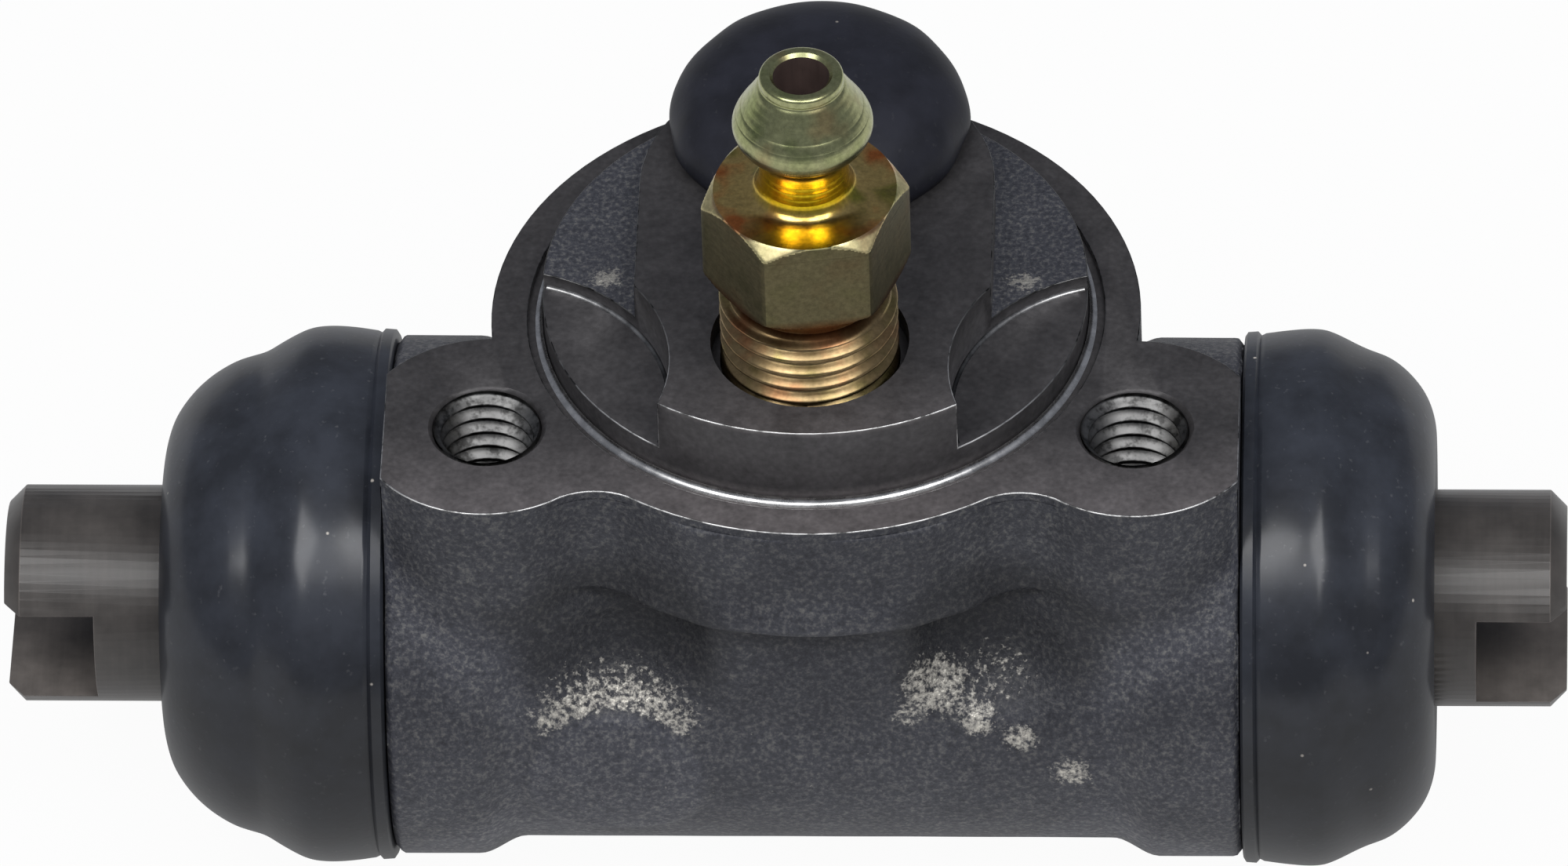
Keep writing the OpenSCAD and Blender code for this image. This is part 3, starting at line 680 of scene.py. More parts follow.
def bare_grain_and_glint_patches(p):
    """How bare the skin is, with the bare grains painted light enough to stand for the glints as well: on
    the left a band round the top of the pad, strongest at its edge, and on the right a few round
    patches, each given by its X, its turn in degrees, its size and how bare it is. Distances are
    measured on the unrolled barrel."""
    x, turn = p[:, 0], np.arctan2(p[:, 2] - BORE_Z, BORE_Y - p[:, 1])
    across, up = around_pad(x, turn)
    away = np.hypot(across, up)
    lean = up / np.maximum(away, 0.1)
    band = smoothstep(4.75, 5.3, away) * (1 - smoothstep(5.5, 10.2, away - 1.2 * (lean - 1)))
    bare = 0.94 * band * smoothstep(0.5, 0.78, lean)
    # A few grains are bare all over the lower front
    bare = np.maximum(bare, 0.27 * (1 - smoothstep(math.radians(-5), math.radians(34), turn)))
    for px, degrees, size, weight in ((6.7, 21.5, 2.7, 0.97), (9.0, 12.4, 1.6, 1.0), (11.4, 7.2, 1.4, 0.97),
                                      (5.2, 14.3, 1.2, 0.85), (10.1, 23, 3.0, 0.62), (14.2, -3.4, 1.7, 0.95),
                                      (8.0, 17, 2.0, 0.75)):
        gap = np.hypot(x - px, WAIST_R * (turn - math.radians(degrees)))
        bare = np.maximum(bare, weight * (1 - smoothstep(0.35 * size, 1.15 * size, gap)))
    return bare * (BORE_Y - p[:, 1] > 5)


def casting_field(p, lip):
    """Distance from the cast skin, negative inside: barrel, web, scoops, flange, ear posts and inlet boss,
    joined with the soft corners of a casting."""
    x, y, z = p[..., 0], p[..., 1], p[..., 2]
    v, h = BORE_Y - y, z - BORE_Z
    side = np.abs(x)
    web_half, web_front, web_top = 5.4, 13.1, 16.3
    plate_z, post_z = -7.4, -15.0
    boss_r, boss_cone_z, boss_end_z = 7.6, -13.0, -17.5
    ball, pad = scoop_depth(x, v, h)
    radius = WAIST_R + smoothstep(*COLLAR_RISE, side) - 0.4 * smoothstep(SHOULDER_X - 0.4, SHOULDER_X, side)
    radius = radius + 0.22 * (1 - smoothstep(4.7, 5.4, pad))
    barrel = np.hypot(v, h) - radius
    in_web = np.maximum(np.maximum(v - web_front + 0.03 * h, h - web_top), -v)
    web = cut(side - web_half - 0.12 * h, in_web, 2.5)
    core = np.where(h > 0, join(barrel, web, 0.05 + 2.6 * smoothstep(0.5, 9, h)), barrel)
    core = cut(core, np.minimum(ball, pad - 5.0), 0.9)
    outline, ear = flange_outline(x, y)
    flare = lip * smoothstep(-4.6, -7.3, z) * (1 - smoothstep(8.5, 12.5, side))
    plate = cut(outline - flare, plate_z - z, 0.5)
    post = np.maximum(ear, post_z - z)
    off_inlet = np.hypot(x, y - INLET_Y)
    boss = np.maximum(off_inlet - boss_r, boss_end_z - z)
    boss = np.maximum(boss, (off_inlet + 0.9 * (boss_cone_z - z) - boss_r) * 0.74)
    whole = np.minimum(join(core, plate, 1.0), join(core, post, 1.5))
    return np.minimum(whole, join(core, boss, 2.0))


def net_of_field(field, low, high, step):
    """Surface nets: each cell of a grid that the surface passes through gets the mean of the crossings on
    its twelve edges, each crossed grid edge gets a face of its four cells, and three Newton steps
    along the slope then carry the points on to the surface. Gives points, faces and normals."""
    axes = [np.arange(a, b + step, step) for a, b in zip(low, high)]
    value = field(np.stack(np.meshgrid(*axes, indexing="ij"), -1))
    cells = [len(a) - 1 for a in axes]
    corner = {c: value[c[0]:cells[0] + c[0], c[1]:cells[1] + c[1], c[2]:cells[2] + c[2]]
              for c in itertools.product((0, 1), repeat=3)}
    count = sum((c < 0).astype(int) for c in corner.values())
    active = (count > 0) & (count < 8)
    index = np.full(active.shape, -1)
    index[active] = np.arange(active.sum())
    total, hits = np.zeros((active.sum(), 3)), np.zeros(active.sum())
    for a, b in itertools.combinations(corner, 2):
        if sum(np.abs(np.subtract(a, b))) != 1:
            continue
        one, two = corner[a][active], corner[b][active]
        crossed = (one < 0) != (two < 0)
        t = np.where(crossed, one / np.where(crossed, one - two, 1), 0)
        total += np.where(crossed[:, None], np.array(a) + t[:, None] * np.subtract(b, a), 0)
        hits += crossed
    points = np.array(low) + step * (np.argwhere(active) + total / hits[:, None])
    faces = []
    for axis in range(3):
        second, third = (axis + 1) % 3, (axis + 2) % 3
        turned_value = np.transpose(value, (axis, second, third))[:, 1:-1, 1:-1]
        turned_index = np.transpose(index, (axis, second, third))
        change = (turned_value[:-1] < 0).astype(int) - (turned_value[1:] < 0)
        i, j, k = np.nonzero(change)
        quad = np.stack([turned_index[i, j, k], turned_index[i, j + 1, k],
                         turned_index[i, j + 1, k + 1], turned_index[i, j, k + 1]], -1)
        faces.append(np.where((change[i, j, k] > 0)[:, None], quad, quad[:, ::-1]))
    small = 0.02
    for _ in range(3):
        slope = np.stack([field(points + e) - field(points - e) for e in small * np.eye(3)], -1) / (2 * small)
        steep = np.maximum((slope ** 2).sum(-1, keepdims=True), 0.2)
        points = points - np.clip(field(points)[:, None] * slope / steep, -step, step)
    return points, np.concatenate(faces), slope / np.sqrt(steep)


def thread_surface(centre_x, pitch):
    """Screw thread cut in a mounting hole: the radius drops from the root to the crest along a flattened
    triangle wave of height over pitch less angle over a turn, and the thread starts shallow at the mouth."""
    columns, rows, root_r, depth = 96, 176, 2.99, 0.5
    mouth, full, bottom = -0.12, -0.6, -6.4
    angle = np.arange(columns) * 2 * math.pi / columns
    height = np.linspace(mouth, bottom, rows)[:, None]
    phase = (height / pitch - angle / (2 * math.pi)) % 1
    wave = np.clip(np.abs(phase - 0.5) * 2.6 - 0.25, 0, 1)
    radius = root_r - depth * wave * (0.35 + 0.65 * smoothstep(mouth, full, height))
    return np.stack([centre_x + radius * np.cos(angle), radius * np.sin(angle), height + 0 * angle], -1)


def spot_corner(sign):
    """Round corner that the cutter leaves at the foot of a spot face's wall: a quarter circle from the wall
    to the floor, carried round the hole's axis between the two ends of the cut."""
    size, wall_r, floor_z = 0.2, 10.09, 1.51
    bend = np.linspace(0, math.pi / 2, 6)[:, None]
    angle = np.linspace(math.radians(-17), math.radians(73), 120)
    if sign > 0:
        angle = math.pi - angle[::-1]
    radius = wall_r - size * (1 - np.cos(bend))
    height = floor_z + size * (1 - np.sin(bend))
    return np.stack([sign * HOLE_X + radius * np.cos(angle), radius * np.sin(angle), height + 0 * angle], -1)


def foot_ring():
    """Bright round corner at the foot of the pilot: a quarter circle turned round the pilot's axis."""
    size, pilot_r, groove_z = 0.4, 15.08, -0.34
    bend = np.linspace(math.pi / 2, 0, 9)
    profile = np.stack([pilot_r + size * (1 - np.cos(bend)), groove_z + size * (1 - np.sin(bend))], 1)
    return turned(profile, 256) + (0, PILOT_Y, 0)


class WHEELCYL_OT_cast_body(bpy.types.Operator):
    """Builds the cast skin, the machined top, the mounting threads and the bright corners of the pilot"""
    bl_idname = "wheelcyl.cast_body"
    bl_label = "Cast body"

    def execute(self, context):
        casting = context.scene.wheel_cylinder.casting
        cast, machined = cast_iron(casting), machined_iron(casting)
        # The arris is painted brightest at the front, the spot corners brightest at Y 8.5 mm: painted
        # highlights
        arris = bare_iron(casting, "Cut iron, rubbed bright", 1.0, (0.25, 0.5), 0.14, 1.4, (4, -2, 0.22))
        cut_thread = bare_iron(casting, "Tapped iron, oiled", 0.21, (0.3, 0.5), 0.3)
        turned_bright = bare_iron(casting, "Turned iron, bare", 0.95, (0.2, 0.35), 0.7)
        corner = bare_iron(casting, "Milled iron, bare", 0.7, (0.25, 0.45), 0.5, 0.9, (2.5, 8.5, 0.12))
        self.skin(casting, cast)
        self.top(casting, cast, machined, arris)
        on_body = {"body": "housing", "slot": "cast_body", "solid": False}
        for name, x in (("left_mounting_thread", -HOLE_X), ("right_mounting_thread", HOLE_X)):
            put_grid(name, thread_surface(x, casting.pitch / MM), [cut_thread], sharp=60, **on_body)
        put_grid("pilot_foot_ring", foot_ring(), [turned_bright], **on_body)
        for name, sign in (("left_spot_corner", -1), ("right_spot_corner", 1)):
            put_grid(name, spot_corner(sign), [corner], ring=False, **on_body)
        return {"FINISHED"}

    def skin(self, casting, cast):
        """The cast skin, open at the shoulders and under the machined top."""
        lip = casting.lip / MM
        low, high = (-SHOULDER_X - 0.4, -9.9, -32.6), (SHOULDER_X + 0.4, 28.2, STRIP_Z + 0.4)
        points, faces, normal = net_of_field(lambda p: casting_field(p, lip), low, high, casting.step / MM)
        calm = smoothstep(STRIP_Z, STRIP_Z - 2, points[:, 2])
        swell = casting.waviness / MM * waves(points, (2.1, 2.9, 3.7, 5.3), 7) * calm
        points = points + normal * swell[:, None]
        # The skin ends just behind the end walls of the frame, so that no two faces share a plane
        end_x = SHOULDER_X - 0.03
        points[:, 0] = np.clip(points[:, 0], -end_x, end_x)
        points[:, 2] = np.minimum(points[:, 2], STRIP_Z + 0.05)
        piece = put_mesh("casting_skin", points, faces, [cast], "housing", ("cylinder_body",),
                         solid=False, sharp=180)
        kept, facing = np.empty((2, len(piece.data.vertices) * 3), np.float32)
        piece.data.vertices.foreach_get("co", kept)
        piece.data.vertices.foreach_get("normal", facing)
        kept, facing = kept.reshape(-1, 3) / MM, facing.reshape(-1, 3)
        # tone holds the skin's painted light and shade
        for name, values in (("rubbed", bare_grain_and_glint_patches(kept)), ("tone", painted_skin_light_and_shade(kept, facing) - 1)):
            layer = piece.data.attributes.new(name, "FLOAT", "POINT")
            layer.data.foreach_set("value", values.astype(np.float32))

    def top(self, casting, cast, machined, arris):
        """The machined top: the frame's own faces above the strip, with the ports, the bore and the spigots.
        Faces of the strip, the pilot's shoulders and the end walls keep the cast finish."""
        end_x = SHOULDER_X - 0.01
        made = merged_copy("cylinder_body")
        bmesh.ops.bisect_plane(made, geom=made.verts[:] + made.edges[:] + made.faces[:], dist=1e-7,
                               plane_co=(0, 0, STRIP_Z * MM), plane_no=(0, 0, 1))
        middle = np.array([f.calc_center_median() for f in made.faces]) / MM
        x, y, z = middle.T
        near_hole = np.hypot(np.abs(x) - HOLE_X, y) < 3.4
        near_port = (np.hypot(x, y - BLEEDER_Y) < 5.6) | (np.hypot(x, y - INLET_Y) < 5.0)
        in_bore = np.hypot(y - BORE_Y, z - BORE_Z) < 9.6
        keep = (z > STRIP_Z) | near_hole | (near_port & (z > -10)) | in_bore | (np.abs(x) > end_x)
        bmesh.ops.delete(made, geom=[f for f, k in zip(made.faces[:], keep) if not k], context="FACES")

        def choose(p):
            """Edges of the flange outline, the boss and the spot faces; not the mouths of the ports."""
            px, py, pz = p.T
            open_mouth = (np.hypot(px, py - BLEEDER_Y) < 5.9) | (np.hypot(px, py - INLET_Y) < 5.0)
            bolt = np.hypot(np.abs(px) - HOLE_X, py) < 3.6
            return (pz > -0.1) & ~open_mouth & ~bolt
        weigh_edges(made, choose)
        for face in made.faces:
            where, up = face.calc_center_median() / MM, face.normal.z
            bolt = math.hypot(abs(where.x) - HOLE_X, where.y) < 3.4
            from_pilot = math.hypot(where.x, where.y - PILOT_Y)
            strip = where.z < 0 and abs(up) < 0.5 and from_pilot > 15.95 and not bolt
            shoulder = up > 0.5 and 2.2 < where.z < 2.6
            face.material_index = 1 if strip or shoulder or abs(where.x) > end_x else 0
        piece = finish_piece("machined_top", mesh_of(made, "machined_top"), [machined, cast, arris],
                             "housing", ("cylinder_body",))
        break_edges(piece, casting.arris, 2)


class WHEELCYL_OT_pistons(bpy.types.Operator):
    """Finishes the pistons with broken edges, and gives the cups their rubber"""
    bl_idname = "wheelcyl.pistons"
    bl_label = "Pistons and cups"

    def execute(self, context):
        steel = context.scene.wheel_cylinder.steel
        marks, streak = 0.35, 0.2
        plain = turned_steel("Turned steel, phosphated and oiled", steel.piston, 0.0, marks, streak,
                             (0.3, 0.46))
        worn = turned_steel("Turned steel, rubbed edge", shaded(steel.piston, 2.2), 0.2, marks, streak,
                            (0.3, 0.45))
        # The milled flats of the slot: milled metal, with painted light for the light reaching into the slot
        milled_and_lit = turned_steel("Milled steel, phosphated, painted light", shaded(steel.piston, 2.1), 0.0, marks, streak,
                              (0.4, 0.55))
        cup = moulded_rubber("Moulded rubber of the cups", steel.cup, (0.4, 0.6), 0.3, 0.1)
        for side, body in (("left", "left_piston_set"), ("right", "right_piston_set")):
            made = merged_copy(f"{side}_piston")
            rounder_stem(made, 7)
            weigh_edges(made, lambda p: np.abs(p[:, 0]) > SHOULDER_X + 8)
            for face in made.faces:
                at = face.calc_center_median() / MM
                flat = abs(face.normal.x) < 0.5 and abs(at.x) > SHOULDER_X + 9
                face.material_index = 2 if flat and math.hypot(at.y - BORE_Y, at.z - BORE_Z) < 5.4 else 0
            mesh = mesh_of(made, f"{side}_piston_turned")
            push_out(mesh)
            piece = finish_piece(mesh.name, mesh, [plain, worn, milled_and_lit], body,
                                 (f"{side}_piston",))
            break_edges(piece, steel.edge, 1)
            seal = frame["nodes"][f"{side}_cup_seal"]
            seal.data.materials.clear()
            seal.data.materials.append(cup)
        return {"FINISHED"}


class WHEELCYL_OT_return_spring(bpy.types.Operator):
    """Builds the spring between the pistons as two lengths of wire, one for each piston"""
    bl_idname = "wheelcyl.return_spring"
    bl_label = "Return spring"

    def execute(self, context):
        spring = context.scene.wheel_cylinder.steel.spring
        drawn = turned_steel("Spring steel wire, drawn", spring, 1.0, 0.3, 0.4, (0.25, 0.4))
        start, end, split = -8.94, 5.24, 1.5
        for name, body, still, moving, rows in (("spring_left", "left_piston_set", split, start, 240),
                                                ("spring_right", "right_piston_set", split, end, 96)):
            along = np.linspace(min(still, moving), max(still, moving), rows)
            piece = put_grid(name, self.coil(along, start, end), [drawn], None, "spring_steel",
                             ("return_spring",))
            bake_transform(piece)
        return {"FINISHED"}

    def coil(self, along, start, end):
        """Round wire carried along a helix: the centre goes round the bore axis by the turns from start to
        end, with the wire's circle in the plane of the radius and the bore. Its ends close to a point."""
        turns, coil_r, wire_r, columns = 4, 4.9, 0.55, 16
        angle = 2 * math.pi * turns * (along - start) / (end - start) + math.pi
        round_wire = np.arange(columns) * 2 * math.pi / columns
        count = np.arange(len(along))
        thick = (wire_r * np.clip(np.minimum(count, count[::-1]), 0, 1))[:, None]
        out = coil_r + thick * np.cos(round_wire)
        return np.stack([along[:, None] + thick * np.sin(round_wire),
                         BORE_Y + out * np.sin(angle)[:, None], BORE_Z - out * np.cos(angle)[:, None]], -1)


# Boot profiles as (distance from the shoulder, radius)
RIM = [(0.05, 14.45), (0.2, 14.68), (0.75, 14.72), (0.95, 14.5), (1.2, 14.62)]
SEAT = [(4.35, 12.38), (3.22, 12.38), (3.22, 11.68), (1.78, 11.68), (1.78, 12.38), (0.05, 12.38)]


class WHEELCYL_OT_boots(bpy.types.Operator):
    """Builds both boots: a shell that stretches from rim to stem, and a lip that rides in its groove"""
    bl_idname = "wheelcyl.boots"
    bl_label = "Boots"

    def execute(self, context):
        rubber = context.scene.wheel_cylinder.rubber
        # The boots are painted up to 2.5 times lighter towards the top: painted light from above
        skin = moulded_rubber("Moulded rubber of the boots", rubber.boot, (0.5, 0.62), 0.12, 0.28,
                              (-16, -5, 2.5))
        outer = {
            "left": [(1.2, 14.62), (2.4, 14.8), (3.6, 14.88), (4.5, 14.82), (5.1, 14.66), (5.7, 14.38),
                     (6.5, 13.93), (7.1, 13.55), (7.5, 13.36), (8.2, 13.17), (8.9, 12.95), (9.6, 12.6),
                     (10.4, 12.08), (11.2, 11.38), (11.9, 10.53), (12.4, 9.7), (12.72, 8.7), (12.86, 7.8),
                     (12.82, 7.0), (12.78, 6.3)],
            "right": [(1.2, 14.62), (2.4, 14.78), (3.6, 14.88), (4.4, 14.83), (4.9, 14.67), (5.5, 14.4),
                      (6.15, 14.06), (6.8, 13.76), (7.3, 13.58), (7.9, 13.36), (8.5, 13.0), (9.2, 12.4),
                      (9.9, 11.55), (10.35, 10.65), (10.62, 9.6), (10.66, 8.6), (10.35, 7.7), (9.75, 6.9),
                      (8.95, 6.3)]}
        inner = {
            "left": [(12.78, 6.3), (11.12, 6.3), (11.1, 7.9), (10.7, 8.9), (10.06, 9.9), (9.03, 10.9),
                     (7.74, 11.6), (6.45, 12.2), (5.29, 12.8), (4.64, 13.05), (4.35, 12.38)],
            "right": [(8.95, 6.3), (7.6, 6.3), (8.27, 7.1), (8.96, 8.2), (9.22, 9.2), (9.0, 10.3),
                      (8.48, 11.2), (7.53, 11.9), (6.36, 12.45), (5.3, 12.85), (4.56, 13.05), (4.35, 12.38)]}
        lips = {"left": (10.98, 12.62), "right": (7.28, 8.92)}
        for side, sign in (("left", -1), ("right", 1)):
            body, node = f"{side}_piston_set", (f"{side}_boot",)
            line = np.concatenate([divided(RIM, 0.2), divided(rounded(outer[side]), 0.22)[1:],
                                   divided(inner[side], 0.6)[1:], divided(SEAT, 0.6)[1:]])
            points = to_bore(turned(line[:, ::-1], rubber.columns), sign * SHOULDER_X, sign)
            piece = put_grid(f"{side}_boot_shell", points, [skin], None, "boot_rubber", node, loop=True)
            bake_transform(piece)
            near, far = lips[side]
            ring = np.array([(5.28, near), (5.28, far), (5.9, far), (6.26, far - 0.15), (6.26, near + 0.15),
                             (5.9, near)])
            points = to_bore(turned(ring, 96), sign * SHOULDER_X, sign)
            put_grid(f"{side}_boot_lip", points, [skin], body, "boot_rubber", node, loop=True)
        return {"FINISHED"}


class WHEELCYL_OT_bleeder_screw(bpy.types.Operator):
    """Builds the bleeder screw as one turned surface with its thread, hexagon, barb and hole"""
    bl_idname = "wheelcyl.bleeder_screw"
    bl_label = "Bleeder screw"

    def execute(self, context):
        bleeder = context.scene.wheel_cylinder.bleeder
        points = self.surface(bleeder.pitch / MM, bleeder.depth / MM)
        # Olive on the flats and under the barb is darkened as painted shade; the pale chamfer is a painted
        # highlight
        plated = yellow_zinc("Zinc plated steel, yellow passivated", [
            (0, bleeder.copper), (3.8, bleeder.copper), (4.2, bleeder.rust), (5.4, bleeder.rust),
            (6.0, bleeder.olive), (11.05, bleeder.olive), (11.15, bleeder.cap), (11.3, bleeder.cap),
            (11.9, bleeder.gold), (13.5, bleeder.gold), (14.1, bleeder.olive), (15.1, bleeder.olive),
            (16.2, bleeder.silver), (TIP_RISE, bleeder.silver)])
        pale = yellow_zinc("Zinc plated steel, chamfer with painted highlight", [(0, bleeder.chamfer), (TIP_RISE, bleeder.chamfer)])
        drilled = turned_steel("Drilled steel, stained", bleeder.hole, 0.0, 0.3, 0.3, (0.5, 0.7))
        piece = put_grid("bleeder_turned", points, [plated, pale, drilled], "bleeder", "zinc_yellow",
                         ("bleeder_screw",), sharp=28)
        middle = np.empty(len(piece.data.polygons) * 3, np.float32)
        piece.data.polygons.foreach_get("center", middle)
        x, y, z = middle.reshape(-1, 3).T / MM
        radius, height = np.hypot(x, y - BLEEDER_Y), z - COLUMN_Z
        chamfer = (np.abs(radius + height - CORNER_R - CHAMFER_Z) < 0.06) & (height < CAP_Z)
        hole = (radius < 1.6) & (height > 3)
        faced = np.where(hole, 2, np.where(chamfer, 1, 0))
        piece.data.polygons.foreach_set("material_index", faced.astype(np.int32))
        return {"FINISHED"}

    def surface(self, pitch, depth):
        """A profile of (radius, height) carried round the axis, with the radius changed in two spans.
        In the thread it drops by the depth along a cosine of height over pitch less angle over a turn. In the
        hexagon it is the smaller of a prism, half the width over flats divided by the largest cosine to a
        flat, and a cone of 45 degrees. On the neck and the barb a fine cosine of the height, stronger in
        places, leaves turning rings."""
        columns, turn = 192, math.radians(9)
        below = [(0.0, -11.6), (0.8, -11.7), (3.3, -9.23), (3.3, -7.25), (4.4, -7.25), (4.9, -6.75)]
        hidden, thread = [(4.9, -6.75), (4.9, -0.5)], [(4.9, -0.5), (4.9, 3.7), (4.35, 3.95)]
        undercut = [(4.35, 3.95), (4.05, 4.1), (4.0, 4.95), (4.3, 5.2), (4.85, 5.3), (5.3, 5.5), (5.9, 5.9)]
        hexagon = [(6.4, 5.95), (6.4, 10.3), (5.9, 10.28), (5.003, CAP_Z)]
        cap = [(5.003, CAP_Z), (3.75, CAP_Z), (3.3, 11.2), (2.92, 11.34), (2.66, 11.6), (2.5, 12.0)]
        neck = [(2.5, 12.0), (2.4, 12.9), (2.42, 13.7), (2.6, 14.15), (3.0, 14.55), (3.42, 14.95),
                (3.72, 15.4), (3.86, 15.9), (3.8, 16.3), (3.66, 16.62), (3.6, 16.7), (3.58, 16.76),
                (3.38, 17.1), (3.31, 17.18), (3.28, 17.24), (2.88, 17.9), (2.52, 18.5), (2.4, 18.7),
                (2.3, 18.82), (2.28, 18.92), (2.33, 19.0), (2.31, 19.3), (2.22, 19.44), (2.08, 19.5)]
        hole = [(2.08, 19.5), (1.72, 19.48), (1.54, 19.3), (1.5, 18.9), (1.5, 4.0), (0.0, 4.0)]
        line = np.concatenate([divided(below, 0.8), divided(hidden, 0.12)[1:], divided(thread, 0.05)[1:],
                               divided(undercut, 0.15)[1:], divided(hexagon, 0.12), divided(cap, 0.25)[1:],
                               divided(rounded(neck, 2), 0.07)[1:], divided(hole, 1.5)[1:]])
        radius, height = line[:, :1], line[:, 1:]
        angle = turn + np.arange(columns) * 2 * math.pi / columns
        phase = (height / pitch - angle / (2 * math.pi)) % 1
        wave = 0.5 - 0.5 * np.cos(2 * math.pi * phase)
        span = smoothstep(-6.9, -6.3, height) * (1 - smoothstep(3.75, 3.95, height)) * (radius > 4.3)
        radius = radius - depth * wave * span
        rings = smoothstep(12.0, 12.4, height) * (1 - smoothstep(19.0, 19.2, height)) * (radius > 2)
        beat = 0.35 + 0.65 * np.cos(math.pi * (height - 12.6) / 3.1) ** 2
        radius = radius - 0.004 * rings * beat * (1 + np.cos(2 * math.pi * height / 0.4))
        flats = turn + math.radians(30) + np.arange(6) * math.pi / 3
        toward = np.maximum(np.cos(angle[:, None] - flats), 0)
        # A high power mean of the cosines is their largest, with a slightly rounded corner between flats
        power = 70
        prism = FLAT_R / ((toward ** power).sum(-1) ** (1 / power))
        cone = CORNER_R + CHAMFER_Z - height
        on_hex = (height > 5.1) & (height < 11.2) & (line[:, :1] > 4.2)
        radius = np.where(on_hex, np.minimum(radius, np.minimum(prism, cone)), radius)
        return np.stack([radius * np.cos(angle), BLEEDER_Y + radius * np.sin(angle),
                         COLUMN_Z + height + 0 * angle], -1)


class WHEELCYL_OT_port_plug(bpy.types.Operator):
    """Builds the plug of the inlet port: a low dome with a trimmed edge over a stem with two sealing beads"""
    bl_idname = "wheelcyl.port_plug"
    bl_label = "Port plug"

    def execute(self, context):
        rubber = context.scene.wheel_cylinder.rubber
        skin = moulded_rubber("Moulded rubber of the plug", rubber.plug, (0.5, 0.66), 0.22, 0.04)
        plug_r, edge_z, dome_rise = 8.3, 0.66, 4.44
        bend = np.linspace(0, math.pi / 2, 26)[1:]
        dome = np.stack([plug_r * np.cos(bend) ** 0.8, edge_z + dome_rise * np.sin(bend)], 1)
        stem = [(0.0, -7.95), (4.1, -7.95), (4.4, -7.4), (4.4, -6.3), (4.68, -6.0), (4.68, -5.4),
                (4.4, -5.1), (4.4, -3.4), (4.68, -3.1), (4.68, -2.5), (4.4, -2.2), (4.4, 0.06), (8.0, 0.06),
                (plug_r, edge_z)]
        line = np.concatenate([divided(stem, 0.5), dome])
        points = turned(line, rubber.columns)
        angle = np.arctan2(points[..., 1], points[..., 0])
        edge = smoothstep(6.5, 8.2, np.hypot(points[..., 0], points[..., 1]))
        trim = 1 + 0.007 * edge * (np.sin(9 * angle + 0.7) + 0.6 * np.sin(14 * angle + 2.0))
        points = points * np.stack([trim, trim, np.ones_like(trim)], -1) + (0, INLET_Y, COLUMN_Z)
        put_grid("port_plug_moulded", points, [skin], "plug", "plug_rubber", ("port_plug",))
        return {"FINISHED"}


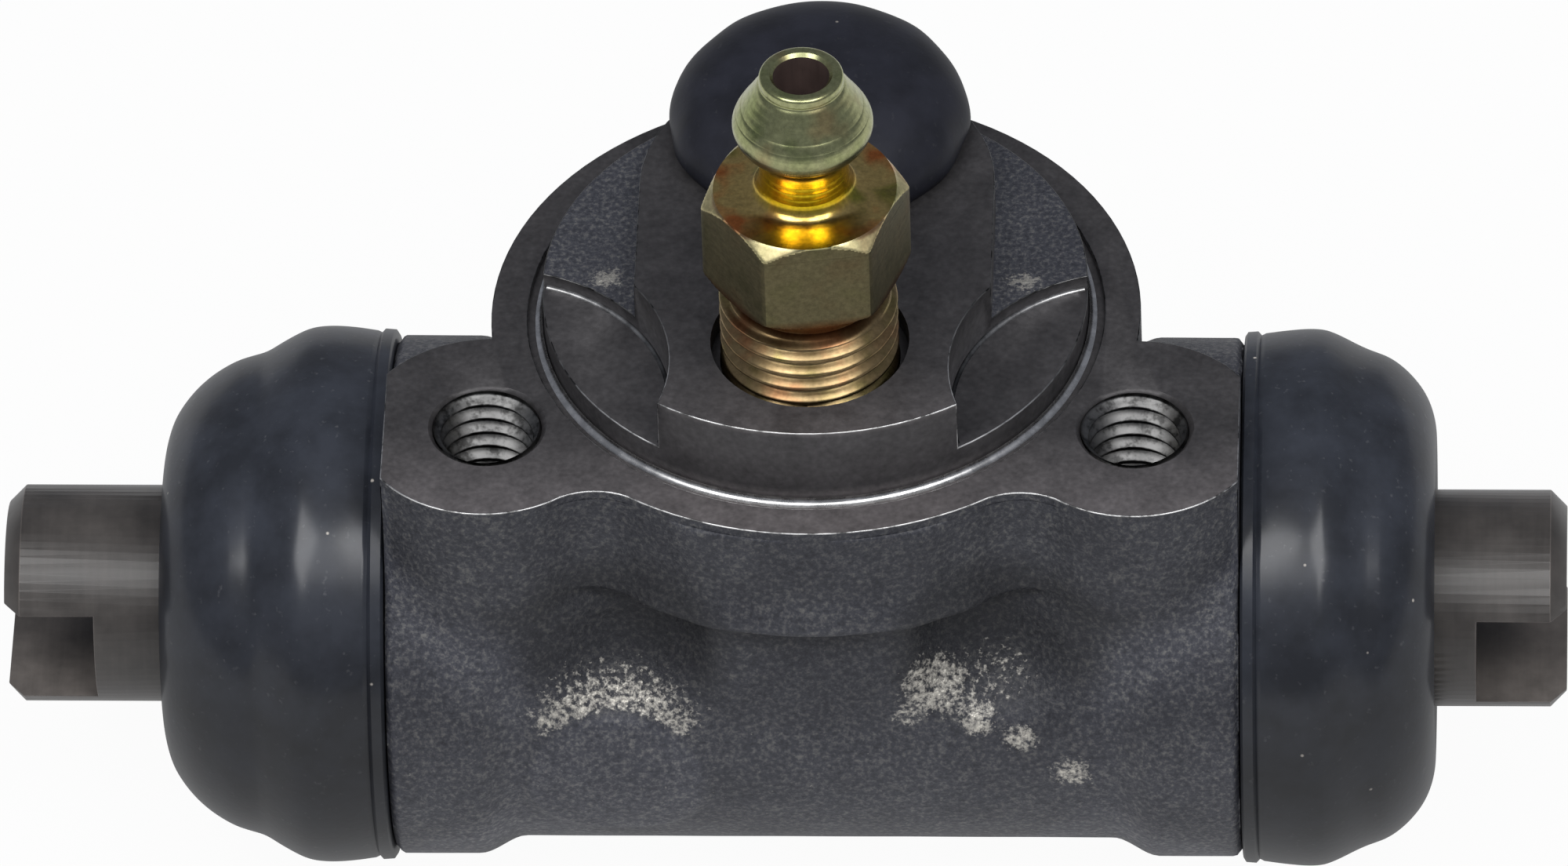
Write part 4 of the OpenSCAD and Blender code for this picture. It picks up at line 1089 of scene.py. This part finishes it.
class WHEELCYL_OT_stage(bpy.types.Operator):
    """Lays the floor, sets the lamps and the sky, and places the camera"""
    bl_idname = "wheelcyl.stage"
    bl_label = "Stage"

    def execute(self, context):
        stage = context.scene.wheel_cylinder.stage
        self.floor(stage)
        self.camera(context, stage)
        self.light(context, stage)
        context.scene.view_settings.view_transform = "Standard"
        return {"FINISHED"}

    def floor(self, stage):
        """A flat floor under the lowest point, white to the eye, that still takes the part's shadow."""
        half, gap, points = 4.0, 0.05 * MM, 9
        span = np.linspace(-half, half, points)
        x, y = np.meshgrid(span, span, indexing="xy")
        material = bpy.data.materials.new("Studio paper, matt")
        material.use_nodes = True
        tree = material.node_tree
        shader = tree.nodes["Principled BSDF"]
        shader.inputs["Base Color"].default_value = rgba(stage.floor)
        shader.inputs["Roughness"].default_value = 0.9
        shader.inputs["Specular IOR Level"].default_value = 0.1
        path = add(tree, "LightPath", {}).node.outputs
        mirrored = add(tree, "Math", {0: path["Is Glossy Ray"], 1: path["Is Transmission Ray"]},
                       operation="MAXIMUM")
        # The camera sees paper that is nearly white, a reflection sees half of that and half of the lit paper
        seen = add(tree, "Math", {0: path["Is Camera Ray"], 1: 0.96}, operation="MULTIPLY")
        part = add(tree, "Math", {0: mirrored, 1: 0.5, 2: seen}, operation="MULTIPLY_ADD")
        white = add(tree, "Emission", {"Color": (1, 1, 1, 1), "Strength": 1.0})
        mixed = add(tree, "MixShader", {0: part, 1: shader.outputs["BSDF"], 2: white})
        tree.links.new(mixed, tree.nodes["Material Output"].inputs["Surface"])
        mesh = bpy.data.meshes.new("floor")
        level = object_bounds()[0].z - gap
        mesh.from_pydata(np.stack([x, y, 0 * x + level], -1).reshape(-1, 3).tolist(), [],
                         grid_faces(points, points, ring=False).tolist())
        mesh.materials.append(material)
        floor = bpy.data.objects.new("floor", mesh)
        bpy.context.scene.collection.objects.link(floor)
        floor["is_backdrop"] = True

    def camera(self, context, stage):
        """The view of the photograph, 2000 by 1104 pixels: the middle of the bore lands the given number of
        pixels right of the picture's middle and below it."""
        width, right_of_middle, below_middle = 2000, 47.5, 207
        rise, yaw, roll = stage.elevation, stage.yaw, stage.roll
        right = Vector((math.cos(yaw), math.sin(yaw) * math.cos(rise), -math.sin(yaw) * math.sin(rise)))
        back = Vector((math.sin(yaw), -math.cos(yaw) * math.cos(rise), math.cos(yaw) * math.sin(rise)))
        up = back.cross(right)
        right, up = (right * math.cos(roll) + up * math.sin(roll),
                     up * math.cos(roll) - right * math.sin(roll))
        data = bpy.data.cameras.new("camera")
        data.lens, data.sensor_width, data.sensor_fit = stage.lens, 36.0, "HORIZONTAL"
        data.clip_start, data.clip_end = 0.01, 100
        pixel = data.sensor_width / width / stage.lens * stage.distance
        target = Vector(on_bore(0)) - right * (right_of_middle * pixel) + up * (below_middle * pixel)
        camera = bpy.data.objects.new("camera", data)
        camera.matrix_world = Matrix.Translation(target + back * stage.distance) @ Matrix(
            (right, up, back)).transposed().to_4x4()
        context.scene.collection.objects.link(camera)
        context.scene.camera = camera

    def light(self, context, stage):
        """Softboxes left and right of the camera, a weaker one between them, and an even sky. Each row gives
        a name, the turn and the rise in degrees, the width and height in metres, and the share of the
        brightness."""
        world = bpy.data.worlds.new("sky")
        world.use_nodes = True
        ground = world.node_tree.nodes["Background"]
        ground.inputs["Color"].default_value = rgba(stage.haze)
        ground.inputs["Strength"].default_value = stage.sky
        context.scene.world = world
        aim, away = Vector(on_bore(0)), 0.95
        for name, turn, rise, width, height, share in (
                ("softbox_left", -42, 56, 0.4, 0.46, 1.0), ("softbox_right", 42, 56, 0.4, 0.46, 1.0),
                ("softbox_middle", 0, 59, 0.4, 0.36, 0.34)):
            a, e = math.radians(turn), math.radians(rise)
            back = Vector((math.sin(a) * math.cos(e), -math.cos(a) * math.cos(e), math.sin(e)))
            data = bpy.data.lights.new(name, "AREA")
            data.shape, data.size, data.size_y = "RECTANGLE", width, height
            data.energy = stage.lamp * share * math.pi * width * height
            lamp = bpy.data.objects.new(name, data)
            lamp.location = aim + back * away
            lamp.rotation_euler = back.to_track_quat("Z", "Y").to_euler()
            lamp.visible_camera = False
            context.scene.collection.objects.link(lamp)


class WHEELCYL_PT_panel(bpy.types.Panel):
    """Lists the steps that build the wheel cylinder"""
    bl_idname = "WHEELCYL_PT_panel"
    bl_label = "Wheel cylinder"
    bl_space_type = "VIEW_3D"
    bl_region_type = "UI"
    bl_category = "Wheel cylinder"

    def draw(self, context):
        """One button for each step."""
        for step in STEPS:
            self.layout.operator(step.bl_idname)


STEPS = (WHEELCYL_OT_cast_body, WHEELCYL_OT_pistons, WHEELCYL_OT_return_spring, WHEELCYL_OT_boots,
         WHEELCYL_OT_bleeder_screw, WHEELCYL_OT_port_plug, WHEELCYL_OT_stage)
CLASSES = (WHEELCYL_CastingSettings, WHEELCYL_SteelSettings, WHEELCYL_RubberSettings,
           WHEELCYL_BleederSettings, WHEELCYL_StageSettings, WHEELCYL_Settings, *STEPS, WHEELCYL_PT_panel)


def register():
    """Adds the settings, the steps and the panel."""
    for kind in CLASSES:
        bpy.utils.register_class(kind)
    bpy.types.Scene.wheel_cylinder = bpy.props.PointerProperty(type=WHEELCYL_Settings)


def unregister():
    """Takes them away again."""
    del bpy.types.Scene.wheel_cylinder
    for kind in reversed(CLASSES):
        bpy.utils.unregister_class(kind)


def main():
    """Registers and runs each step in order."""
    register()
    bpy.ops.wheelcyl.cast_body()
    bpy.ops.wheelcyl.pistons()
    bpy.ops.wheelcyl.return_spring()
    bpy.ops.wheelcyl.boots()
    bpy.ops.wheelcyl.bleeder_screw()
    bpy.ops.wheelcyl.port_plug()
    bpy.ops.wheelcyl.stage()


if __name__ == "__main__":
    main()
